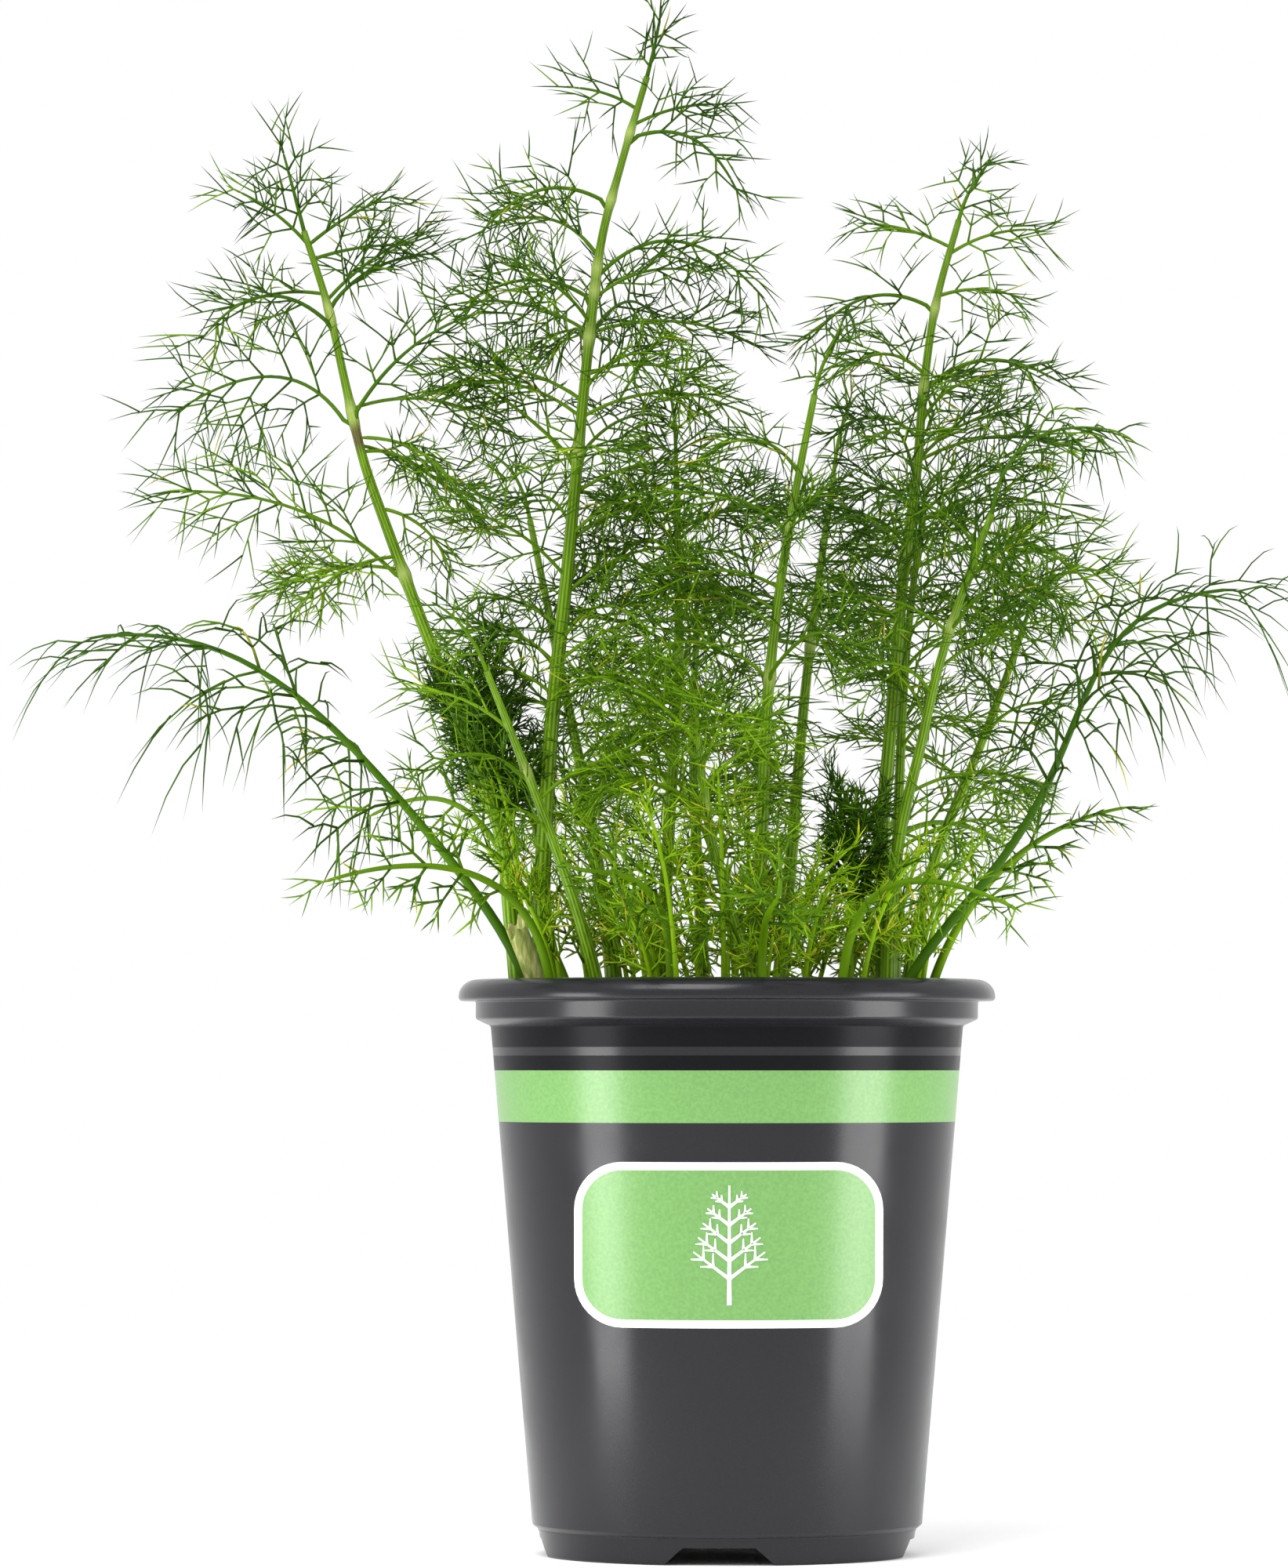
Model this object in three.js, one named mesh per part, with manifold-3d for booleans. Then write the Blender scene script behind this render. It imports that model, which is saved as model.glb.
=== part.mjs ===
// Potted dill: a thin plastic herb pot, the potting soil in it, rooted stems and feathery leaves.
// Millimetres, +Z up. The side of the pot that is seen first faces -Y.
import * as THREE from 'three';
import { mergeVertices } from 'three/addons/utils/BufferGeometryUtils.js';
import Module from 'manifold-3d';

// ---------------------------------------------------------------- driving dimensions

// Pot
const RIM_DIAMETER = 103;
const POT_HEIGHT = 110;
const FOOT_DIAMETER = 74.7;
const WALL = 1;
const LIP_HEIGHT = 4.1;
const LIP_OVERHANG = 3.3;
const LIP_ROUNDING = 1.3;
const COLLAR_HEIGHT = 3.5;
const COLLAR_STEP = 2.9;
const COLLAR_SLOPE_HEIGHT = 1.6;
const FOOT_HEIGHT = 5.9;
const FOOT_INSET = 1.25;
const FOOT_TAPER = 0.7;
const FOOT_SHOULDER = 0.9;
const FOOT_RING_WIDTH = 2.2;
const FLOOR_CLEARANCE = 3.6;
const FLOOR_THICKNESS = 1.2;
const POT_SEGMENTS = 56;

// Notches in the foot ring, and drain holes in the floor
const NOTCH_COUNT = 4;
const NOTCH_BOTTOM_WIDTH = 21;
const NOTCH_TOP_WIDTH = 13.6;
const NOTCH_HEIGHT = 3.3;
const NOTCH_TURN = -3;
const DRAIN_HOLES = 4;
const DRAIN_DIAMETER = 9;
const DRAIN_CIRCLE = 46;
const DRAIN_SIDES = 12;

// Soil
const HEADSPACE = 12;
const SOIL_DOME = 1.2;
const SOIL_DOME_SHARE = 0.6;
const ROOT_DEPTH = 7;
const GAP = 0.3;

// Plant
const PLANT_HEIGHT = 199;
const STEM_TIP_RADIUS = 0.6;
const STEM_SIDES = 8;
const STEM_STEP = 16;
const LEAF_LENGTH = 40;
const LEAF_WIDTH = 20;
const LEAF_THICKNESS = 0.8;
const LEAF_STALK_WIDTH = 1.2;
const LEAF_THREAD_PAIRS = 5;
const LEAF_ROLL = 20;
const LEAF_BARE_SHARE = 0.3;
const THREAD_WIDTH = 1.3;
const THREAD_SWEEP = 48;
const THREAD_SIDES = 4;
const STALK_NARROWING = 0.6;
const WIDEST_SHARE = 0.3;
const BASAL_STALK_RADIUS = 1.3;
const BASAL_TIP_RADIUS = 0.8;
const BASAL_THREAD_PAIRS = 6;
const BASAL_WIDTH = 30;
const POINTED_TIP = 3;
const STUB_RADIUS = 2;

// ---------------------------------------------------------------- the plant's layout

// Places are in hundredths: across, of the soil's radius; up, of the plant's height above the soil.
// A leaf is [up, heading, size, rise, droop]: where up its stem it leaves, the way it heads (0 is +X,
// -90 is the side seen first), its share of LEAF_LENGTH, and its slope at its foot and at its tip.
// A crown leaf goes on from its stem's tip, so it has only a heading, a size and a droop.
const STEMS = [
  {
    radius: 1.7,
    route: [[-88, 5, 0], [-93, 5, 6.5], [-98, 6, 19], [-112, 8, 28], [-139, 14, 43.5], [-163, 18, 58.5],
      [-173, 20, 69], [-187, 22, 79]],
    leaves: [[43.5, 192, 1.4, 45, -10], [58.5, 170, 1.2, 50, -45], [60, -28, 0.95, 60, 5],
      [69, 196, 0.95, 40, -60], [71, 14, 0.6, 55, 0]],
    crown: [110, 0.55, 60],
  },
  {
    radius: 1.8,
    route: [[-80, 12, 0], [-82, 12, 7], [-78, 11, 28], [-70, 9, 46], [-66, 7, 55.5], [-61, 5, 67],
      [-53.5, 3, 79.5], [-43, 1, 87.5], [-35, 0, 93.5]],
    leaves: [[55.5, 186, 0.7, 50, 25], [67, 64, 0.85, 50, -20], [71.5, 174, 0.65, 35, -35],
      [74, -12, 1.15, 35, -60], [81, 190, 0.83, 25, -60], [87.3, -6, 0.7, 15, -70]],
    crown: [60, 0.3, 75],
  },
  {
    radius: 1.5,
    route: [[-30, 30, 0], [-26, 34, 18], [-21, 40, 38], [-22, 46, 56]],
    leaves: [[36, 66, 0.95, 45, -30]],
    crown: [96, 0.6, 20],
  },
  {
    radius: 1.4,
    route: [[12, -45, 0], [8, -48, 7], [-7, -54, 19], [-13, -60, 29]],
    leaves: [[21, -150, 0.75, 40, -30]],
    crown: [-96, 0.7, -5],
  },
  {
    radius: 1.5,
    route: [[10, -12, 0], [12, -14, 7], [15, -18, 20], [18, -22, 34], [26, -27, 48], [38, -34, 62]],
    leaves: [[34, -62, 0.85, 45, -25], [48.5, 178, 0.75, 45, -20]],
    crown: [0, 0.45, 45],
  },
  {
    radius: 1.6,
    route: [[68, 5, 0], [69, 5, 7], [69, 8, 22], [73, 10, 32], [78, 12, 45], [84, 14, 55], [87, 15, 63],
      [92, 16, 71], [103, 18, 80]],
    leaves: [[46, 108, 0.8, 45, -20], [62.8, -16, 0.8, 40, -40], [71, 184, 0.8, 25, -60]],
    crown: [10, 0.33, 48],
  },
  {
    radius: 1.3,
    route: [[74, 24, 0], [76, 26, 21], [80, 32, 38], [86, 40, 49]],
    leaves: [],
    crown: [74, 0.75, 0],
  },
  {
    radius: 1.4,
    route: [[70, -18, 0], [74, -20, 18], [83, -24, 27], [90, -28, 34], [96, -31, 39], [115, -37, 50.5]],
    leaves: [[39, -62, 0.8, 40, -20]],
    crown: [-4, 1.4, -32],
  },
  {
    radius: 1.4,
    route: [[78, 42, 0], [87, 46, 13], [100, 52, 22], [114, 58, 29], [134, 68, 41]],
    leaves: [],
    crown: [24, 0.85, -20],
  },
  {
    radius: 1.5,
    route: [[-48, 46, 0], [-58, 62, 19], [-74, 84, 37], [-88, 104, 52]],
    leaves: [[36, 140, 0.95, 45, -30]],
    crown: [128, 0.8, 0],
  },
  {
    radius: 1.5,
    route: [[22, 54, 0], [30, 74, 19], [38, 96, 38], [50, 116, 57]],
    leaves: [[38, 62, 0.95, 45, -25]],
    crown: [72, 0.8, 10],
  },
  {
    radius: 1.4,
    route: [[-8, 74, 0], [-12, 98, 17], [-14, 124, 31], [-12, 148, 42]],
    leaves: [],
    crown: [94, 1, -15],
  },
  {
    radius: 1.4,
    route: [[-52, -34, 0], [-66, -48, 13], [-86, -64, 25], [-104, -78, 35]],
    leaves: [[24, -140, 0.7, 35, -35]],
    crown: [-130, 0.6, 10],
  },
];

// A basal leaf rises from the soil on its own stalk: the points it passes through, and its bare share.
const BASAL_LEAVES = [
  {
    bare: 0.62,
    route: [[-82, -20, 0], [-92, -22, 7], [-112, -24, 14.5], [-146, -27, 26], [-201, -31, 34.5],
      [-250, -34, 39.5], [-282, -35, 40], [-312, -36, 34]],
  },
  {
    bare: 0.68,
    route: [[76, -38, 0], [83, -40, 7], [93, -42, 12], [128, -48, 20], [160, -53, 34], [185, -57, 42.5],
      [212, -60, 44.5], [242, -62, 39]],
  },
  { bare: 0.5, route: [[84, 8, 0], [90, 7, 7], [124, 4, 17], [146, 2, 22.5], [172, 0, 20]] },
  { bare: 0.45, route: [[44, -60, 0], [50, -68, 7], [78, -100, 16], [102, -128, 16], [116, -146, 8]] },
  { bare: 0.45, route: [[-22, -68, 0], [-26, -80, 7], [-44, -110, 17], [-60, -140, 18], [-70, -160, 10]] },
  { bare: 0.5, route: [[-70, -42, 0], [-78, -48, 7], [-118, -71, 17], [-146, -88, 18], [-166, -100, 12]] },
  { bare: 0.5, route: [[-66, 40, 0], [-72, 50, 7], [-112, 92, 22], [-138, 122, 26], [-160, 146, 20]] },
  { bare: 0.5, route: [[46, 62, 0], [52, 72, 7], [84, 118, 22], [108, 148, 24], [126, 170, 16]] },
  { bare: 0.5, route: [[14, -76, 0], [15, -86, 7], [18, -120, 16], [20, -142, 15], [22, -156, 7]] },
];

// The stub left by an earlier cut
const STUB_ROUTE = [[-75, -31, 0], [-82, -33, 5], [-92, -36, 11]];

// ---------------------------------------------------------------- sizes that follow

const rimRadius = RIM_DIAMETER / 2;
const collarRadius = rimRadius - LIP_OVERHANG;
const wallTopRadius = collarRadius - COLLAR_STEP;
const wallFootRadius = FOOT_DIAMETER / 2;
const footRadius = wallFootRadius - FOOT_INSET;
const standRadius = footRadius - FOOT_TAPER;
const lipBottom = POT_HEIGHT - LIP_HEIGHT;
const collarBottom = lipBottom - COLLAR_HEIGHT;
const wallTop = collarBottom - COLLAR_SLOPE_HEIGHT;
const floorTop = FLOOR_CLEARANCE + FLOOR_THICKNESS;
const soilTop = POT_HEIGHT - HEADSPACE;
const soilRadius = innerWallRadius(soilTop) - GAP;

const DEGREE = Math.PI / 180;
const UP = new THREE.Vector3(0, 0, 1);
const CONE_AXIS = new THREE.Vector3(0, 1, 0);

// ---------------------------------------------------------------- materials

const plastic = new THREE.MeshStandardMaterial({ color: 0x2b2b2e, roughness: 0.35, metalness: 0 });
const soilMix = new THREE.MeshStandardMaterial({ color: 0x2e2119, roughness: 0.95, metalness: 0 });
const stemGreen = new THREE.MeshStandardMaterial({ color: 0x6f9b3a, roughness: 0.5, metalness: 0 });
const leafGreen = new THREE.MeshStandardMaterial({ color: 0x3f6b1c, roughness: 0.55, metalness: 0 });
const cutTan = new THREE.MeshStandardMaterial({ color: 0xb9a878, roughness: 0.8, metalness: 0 });

// ---------------------------------------------------------------- solids

const wasm = await Module();
wasm.setup();

function solidOf(geometry) {
  geometry.deleteAttribute('normal');
  geometry.deleteAttribute('uv');
  const merged = mergeVertices(geometry);
  const corners = merged.index.array;
  const faces = [];
  for (let i = 0; i < corners.length; i += 3) {
    const [a, b, c] = corners.slice(i, i + 3);
    if (a !== b && b !== c && c !== a) faces.push(a, b, c);
  }
  return new wasm.Manifold(new wasm.Mesh({
    numProp: 3,
    vertProperties: new Float32Array(merged.attributes.position.array),
    triVerts: new Uint32Array(faces),
  }));
}

function geometryOf(solid) {
  const mesh = solid.getMesh();
  const geometry = new THREE.BufferGeometry();
  geometry.setAttribute('position', new THREE.BufferAttribute(mesh.vertProperties, 3));
  geometry.setIndex(new THREE.BufferAttribute(mesh.triVerts, 1));
  geometry.computeVertexNormals();
  return geometry;
}

function turned(profile) {
  const points = profile.map(([radius, height]) => new THREE.Vector2(radius, height));
  return new THREE.LatheGeometry(points, POT_SEGMENTS).rotateX(Math.PI / 2);
}

function named(name, geometry, material) {
  const mesh = new THREE.Mesh(geometry, material);
  mesh.name = name;
  return mesh;
}

// ---------------------------------------------------------------- pot

function innerWallRadius(height) {
  const share = (height - FOOT_HEIGHT) / (wallTop - FOOT_HEIGHT);
  return wallFootRadius + (wallTopRadius - wallFootRadius) * share - WALL;
}

function makePot() {
  let pot = solidOf(turned([
    [0, FLOOR_CLEARANCE],
    [standRadius - FOOT_RING_WIDTH, FLOOR_CLEARANCE],
    [standRadius - FOOT_RING_WIDTH, 0],
    [standRadius, 0],
    [footRadius, FOOT_HEIGHT - FOOT_SHOULDER],
    [wallFootRadius, FOOT_HEIGHT],
    [wallTopRadius, wallTop],
    [collarRadius, collarBottom],
    [collarRadius, lipBottom],
    [rimRadius - LIP_ROUNDING / 2, lipBottom],
    [rimRadius, lipBottom + LIP_ROUNDING],
    [rimRadius, POT_HEIGHT - LIP_ROUNDING],
    [rimRadius - LIP_ROUNDING, POT_HEIGHT],
    [collarRadius - WALL, POT_HEIGHT],
    [collarRadius - WALL, collarBottom],
    [innerWallRadius(wallTop), wallTop],
    [innerWallRadius(floorTop), floorTop],
    [0, floorTop],
  ]));
  for (let i = 0; i < NOTCH_COUNT; i++) {
    pot = pot.subtract(notch(NOTCH_TURN - 90 + (360 / NOTCH_COUNT) * i));
  }
  pot = pot.subtract(drainHole(0, 0));
  for (let i = 0; i < DRAIN_HOLES; i++) {
    const angle = (45 + (360 / DRAIN_HOLES) * i) * DEGREE;
    const reach = DRAIN_CIRCLE / 2;
    pot = pot.subtract(drainHole(reach * Math.cos(angle), reach * Math.sin(angle)));
  }
  return geometryOf(pot);
}

function notch(heading) {
  const below = 1;
  const slope = (NOTCH_BOTTOM_WIDTH - NOTCH_TOP_WIDTH) / 2 / NOTCH_HEIGHT;
  const bottom = NOTCH_BOTTOM_WIDTH / 2 + slope * below;
  const top = NOTCH_TOP_WIDTH / 2;
  const outline = new THREE.Shape([
    new THREE.Vector2(-bottom, -below),
    new THREE.Vector2(bottom, -below),
    new THREE.Vector2(top, NOTCH_HEIGHT),
    new THREE.Vector2(-top, NOTCH_HEIGHT),
  ]);
  const cutter = new THREE.ExtrudeGeometry(outline, { depth: wallFootRadius, bevelEnabled: false });
  cutter.rotateX(Math.PI / 2).translate(0, -standRadius / 2, 0);
  return solidOf(cutter.rotateZ((heading + 90) * DEGREE));
}

function drainHole(x, y) {
  const radius = DRAIN_DIAMETER / 2;
  const cutter = new THREE.CylinderGeometry(radius, radius, 3 * FLOOR_THICKNESS, DRAIN_SIDES);
  cutter.rotateX(Math.PI / 2).translate(x, y, FLOOR_CLEARANCE + FLOOR_THICKNESS / 2);
  return solidOf(cutter);
}

// ---------------------------------------------------------------- soil

function makeSoil(sockets) {
  let soil = solidOf(turned([
    [0, floorTop + GAP],
    [innerWallRadius(floorTop + GAP) - GAP, floorTop + GAP],
    [soilRadius, soilTop],
    [soilRadius * SOIL_DOME_SHARE, soilTop + SOIL_DOME],
    [0, soilTop + SOIL_DOME],
  ]));
  for (const socket of sockets) soil = soil.subtract(socket);
  return geometryOf(soil);
}

// ---------------------------------------------------------------- curves

function place([across, away, up]) {
  const share = soilRadius / 100;
  return new THREE.Vector3(across * share, away * share, soilTop + (up * PLANT_HEIGHT) / 100);
}

function rootedCurve(route) {
  const points = route.map(place);
  const root = points[0].clone().addScaledVector(UP, -ROOT_DEPTH);
  return new THREE.CatmullRomCurve3([root, ...points]);
}

function direction(heading, slope) {
  const level = Math.cos(slope * DEGREE);
  return new THREE.Vector3(
    level * Math.cos(heading * DEGREE),
    level * Math.sin(heading * DEGREE),
    Math.sin(slope * DEGREE),
  );
}

function archCurve(start, leaving, arriving, length) {
  const bend = start.clone().addScaledVector(leaving, length / 2);
  const end = bend.clone().addScaledVector(arriving, length / 2);
  return new THREE.QuadraticBezierCurve3(start, bend, end);
}

function shareAtHeight(curve, height) {
  let low = 0;
  let high = 1;
  while (high - low > 0.0005) {
    const middle = (low + high) / 2;
    if (curve.getPointAt(middle).z < height) low = middle;
    else high = middle;
  }
  return low;
}

// ---------------------------------------------------------------- stems

// A round stalk along a curve, with a radius at its foot and another at its tip.
function stalk(curve, radius, tipRadius) {
  const steps = stalkSteps(curve);
  const ring = [];
  for (let i = 0; i < STEM_SIDES; i++) {
    const angle = (2 * Math.PI * i) / STEM_SIDES;
    ring.push(new THREE.Vector2(Math.cos(angle), Math.sin(angle)));
  }
  const geometry = new THREE.ExtrudeGeometry(new THREE.Shape(ring), { steps, extrudePath: curve });
  const centres = curve.getSpacedPoints(steps);
  const corners = geometry.attributes.position;
  const corner = new THREE.Vector3();
  for (let i = 0; i < corners.count; i++) {
    corner.fromBufferAttribute(corners, i);
    const distances = centres.map((centre) => centre.distanceTo(corner));
    const nearest = distances.indexOf(Math.min(...distances));
    const reach = THREE.MathUtils.lerp(radius, tipRadius, nearest / steps);
    corner.sub(centres[nearest]).multiplyScalar(reach).add(centres[nearest]);
    corners.setXYZ(i, corner.x, corner.y, corner.z);
  }
  return geometry;
}

function stalkSteps(curve) {
  return Math.round(curve.getLength() / STEM_STEP);
}

// A point in the middle of a stalk, a share of the way along it.
function stalkPoint(curve, share) {
  const steps = stalkSteps(curve);
  const step = Math.min(Math.floor(share * steps), steps - 1);
  const nextRing = curve.getPointAt((step + 1) / steps);
  return curve.getPointAt(step / steps).lerp(nextRing, share * steps - step);
}

// The hole in the soil that a stalk stands in, clear of it on every side.
function socket(curve, radius, tipRadius) {
  return solidOf(stalk(curve, radius + GAP, tipRadius + GAP).translate(0, 0, -GAP));
}

// ---------------------------------------------------------------- leaves

// A comb of pointed threads on both sides of a stalk, cut from a flat sheet and bent along a curve.
function feather(curve, sideways, leaf) {
  const length = curve.getLength();
  const geometry = new THREE.ExtrudeGeometry(new THREE.Shape(featherOutline(length, leaf)), {
    depth: LEAF_THICKNESS,
    bevelEnabled: false,
  });
  const corners = geometry.attributes.position;
  for (let i = 0; i < corners.count; i++) {
    const along = corners.getX(i);
    const share = Math.min(Math.max(along / length, 0), 1);
    const tangent = curve.getTangentAt(share);
    const normal = tangent.clone().cross(sideways).normalize();
    const side = normal.clone().cross(tangent);
    const corner = curve.getPointAt(share);
    corner.addScaledVector(tangent, along - share * length);
    corner.addScaledVector(side, corners.getY(i));
    corner.addScaledVector(normal, corners.getZ(i) - LEAF_THICKNESS / 2);
    corners.setXYZ(i, corner.x, corner.y, corner.z);
  }
  return geometry;
}

function featherOutline(length, { bare, pairs, width }) {
  const bareLength = bare * length;
  const edge = [[0, LEAF_STALK_WIDTH / 2]];
  const pitch = (length - bareLength) / pairs;
  for (let i = 0; i < pairs; i++) {
    const foot = bareLength + pitch * i;
    const half = (LEAF_STALK_WIDTH / 2) * (1 - (STALK_NARROWING * i) / pairs);
    const reach = (width / 2) * Math.cos((Math.PI / 2) * (i / pairs - WIDEST_SHARE));
    edge.push([foot, half]);
    edge.push([foot + reach / Math.tan(THREAD_SWEEP * DEGREE), reach]);
    edge.push([foot + THREAD_WIDTH, half]);
  }
  const mirrored = edge.map(([along, aside]) => [along, -aside]).reverse();
  const outline = [...edge, [length + POINTED_TIP, 0], ...mirrored];
  return outline.map(([along, aside]) => new THREE.Vector2(along, aside));
}

// A long round stalk with pairs of pointed threads along the stretch past its bare share.
function basalLeaf(curve, bare) {
  const first = curve.getPointAt(0);
  const last = curve.getPointAt(1);
  const heading = Math.atan2(last.y - first.y, last.x - first.x) / DEGREE;
  const across = acrossOf(heading, 0);
  let leaf = solidOf(stalk(curve, BASAL_STALK_RADIUS, BASAL_TIP_RADIUS));
  for (let i = 0; i < BASAL_THREAD_PAIRS; i++) {
    const share = i / BASAL_THREAD_PAIRS;
    const along = bare + (1 - bare) * share;
    const reach = (BASAL_WIDTH / 2) * Math.cos((Math.PI / 2) * (share - WIDEST_SHARE));
    for (const side of [-1, 1]) {
      const way = curve.getTangentAt(along).multiplyScalar(Math.cos(THREAD_SWEEP * DEGREE));
      way.addScaledVector(across, side * Math.sin(THREAD_SWEEP * DEGREE)).normalize();
      leaf = leaf.add(thread(stalkPoint(curve, along), way, reach / Math.sin(THREAD_SWEEP * DEGREE)));
    }
  }
  return geometryOf(leaf);
}

function thread(foot, way, length) {
  const cone = new THREE.ConeGeometry(THREAD_WIDTH / 2, length, THREAD_SIDES);
  cone.translate(0, length / 2, 0);
  cone.applyQuaternion(new THREE.Quaternion().setFromUnitVectors(CONE_AXIS, way));
  return solidOf(cone.translate(foot.x, foot.y, foot.z));
}

function acrossOf(heading, roll) {
  const level = new THREE.Vector3(-Math.sin(heading * DEGREE), Math.cos(heading * DEGREE), 0);
  return level.multiplyScalar(Math.cos(roll * DEGREE)).addScaledVector(UP, Math.sin(roll * DEGREE));
}

// ---------------------------------------------------------------- the assembly

const plant = new THREE.Group();
const sockets = [];

function addStemLeaf(name, start, leaving, [heading, size, droop], roll) {
  const arch = archCurve(start, leaving, direction(heading, droop), size * LEAF_LENGTH);
  const width = LEAF_WIDTH * Math.min(size, 1);
  const leaf = { bare: LEAF_BARE_SHARE, pairs: LEAF_THREAD_PAIRS, width };
  plant.add(named(name, feather(arch, acrossOf(heading, roll), leaf), leafGreen));
}

STEMS.forEach(({ radius, route, leaves, crown }, index) => {
  const name = `stem_${index + 1}`;
  const curve = rootedCurve(route);
  plant.add(named(name, stalk(curve, radius, STEM_TIP_RADIUS), stemGreen));
  sockets.push(socket(curve, radius, STEM_TIP_RADIUS));
  leaves.forEach(([up, heading, size, rise, droop], number) => {
    const share = shareAtHeight(curve, soilTop + (up * PLANT_HEIGHT) / 100);
    const leaving = direction(heading, rise);
    const lean = leaving.angleTo(curve.getTangentAt(share));
    const reach = THREE.MathUtils.lerp(radius, STEM_TIP_RADIUS, share);
    const clear = (reach + GAP + LEAF_THICKNESS) / Math.sin(lean);
    const start = curve.getPointAt(share).addScaledVector(leaving, clear);
    const roll = number % 2 ? LEAF_ROLL : -LEAF_ROLL;
    addStemLeaf(`${name}_leaf_${number + 1}`, start, leaving, [heading, size, droop], roll);
  });
  const leaving = curve.getTangentAt(1);
  const start = curve.getPointAt(1).addScaledVector(leaving, GAP);
  addStemLeaf(`${name}_crown_leaf`, start, leaving, crown, 0);
});

BASAL_LEAVES.forEach(({ bare, route }, index) => {
  const curve = rootedCurve(route);
  plant.add(named(`basal_leaf_${index + 1}`, basalLeaf(curve, bare), leafGreen));
  sockets.push(socket(curve, BASAL_STALK_RADIUS, BASAL_TIP_RADIUS));
});

const stubCurve = rootedCurve(STUB_ROUTE);
plant.add(named('cut_stub', stalk(stubCurve, STUB_RADIUS, STUB_RADIUS), cutTan));
sockets.push(socket(stubCurve, STUB_RADIUS, STUB_RADIUS));

const dill = new THREE.Group();
dill.add(named('pot', makePot(), plastic));
dill.add(named('potting_soil', makeSoil(sockets), soilMix));
dill.add(plant);

// The origin is at the middle of the whole object's footprint, on the surface that the pot stands on.
dill.updateMatrixWorld(true);
const box = new THREE.Box3().setFromObject(dill, true);
const middle = box.getCenter(new THREE.Vector3());
dill.position.set(-middle.x, -middle.y, -box.min.z);

export default dill;
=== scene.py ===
"""Potted dill: a thin plastic herb pot, the soil in it, ribbed stems and feathery leaves."""

import math
from dataclasses import dataclass

import bmesh
import bpy
import numpy as np
from bpy.props import FloatProperty, FloatVectorProperty, IntProperty, PointerProperty
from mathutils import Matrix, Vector


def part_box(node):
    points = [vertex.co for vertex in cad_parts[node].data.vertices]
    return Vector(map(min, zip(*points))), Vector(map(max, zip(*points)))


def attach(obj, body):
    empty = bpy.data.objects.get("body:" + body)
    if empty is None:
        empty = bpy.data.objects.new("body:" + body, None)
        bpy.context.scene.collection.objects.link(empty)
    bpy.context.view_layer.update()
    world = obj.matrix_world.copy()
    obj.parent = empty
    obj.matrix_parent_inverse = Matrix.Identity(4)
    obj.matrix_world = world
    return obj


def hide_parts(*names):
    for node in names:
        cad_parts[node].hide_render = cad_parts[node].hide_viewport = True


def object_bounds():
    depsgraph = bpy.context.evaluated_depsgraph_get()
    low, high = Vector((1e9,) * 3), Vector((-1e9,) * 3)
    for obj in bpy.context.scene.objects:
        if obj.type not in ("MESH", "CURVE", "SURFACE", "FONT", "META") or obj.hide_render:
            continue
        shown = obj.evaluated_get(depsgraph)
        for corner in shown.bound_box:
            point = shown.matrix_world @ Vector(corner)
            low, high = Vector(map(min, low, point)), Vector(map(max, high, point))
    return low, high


bl_info = {
    "name": "Potted Dill",
    "version": (1, 0, 0),
    "blender": (4, 5, 0),
    "location": "3D View > Sidebar > Potted Dill",
    "description": "Builds a pot of dill around its packed frame, piece by piece",
    "category": "Add Mesh",
}

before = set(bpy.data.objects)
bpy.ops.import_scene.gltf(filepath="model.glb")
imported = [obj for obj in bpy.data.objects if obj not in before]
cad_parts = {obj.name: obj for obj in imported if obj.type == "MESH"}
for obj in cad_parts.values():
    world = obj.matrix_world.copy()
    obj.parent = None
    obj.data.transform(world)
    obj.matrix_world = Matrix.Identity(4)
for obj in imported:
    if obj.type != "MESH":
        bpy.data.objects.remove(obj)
CAD_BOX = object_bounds()
BODY = "root"
MM = 0.001
UP = np.array([0.0, 0.0, 1.0])


# ---------------------------------------------------------------- sizes taken from the frame


def cad_points(node):
    """The corners of a CAD node, each once, in metres."""
    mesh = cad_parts[node].data
    points = np.zeros(len(mesh.vertices) * 3)
    mesh.vertices.foreach_get("co", points)
    return np.unique(np.round(points.reshape(-1, 3), 6), axis=0)


POT_LOW, POT_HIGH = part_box("pot")
AXIS = Vector(((POT_LOW.x + POT_HIGH.x) / 2, (POT_LOW.y + POT_HIGH.y) / 2, 0))
RIM_RADIUS = (POT_HIGH.x - POT_LOW.x) / 2
POT_TOP = POT_HIGH.z
SOIL_LOW, SOIL_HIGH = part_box("potting_soil")
SOIL_TOP = SOIL_HIGH.z
PLANT_TOP = CAD_BOX[1][2]
STEMS = sorted(
    (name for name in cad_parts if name.startswith("stem_") and "leaf" not in name),
    key=lambda name: int(name.split("_")[1]))
BASAL_COUNT = sum(1 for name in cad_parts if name.startswith("basal_leaf_"))


# ---------------------------------------------------------------- what a user would change


def size_setting(name, description, millimetres):
    return FloatProperty(name=name, description=description, default=millimetres * MM, unit="LENGTH")


def colour_setting(name, description, default):
    return FloatVectorProperty(
        name=name, description=description, size=3, min=0, max=1, default=default, subtype="COLOR")


def count_setting(name, description, default, low, high):
    return IntProperty(name=name, description=description, default=default, min=low, max=high)


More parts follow.
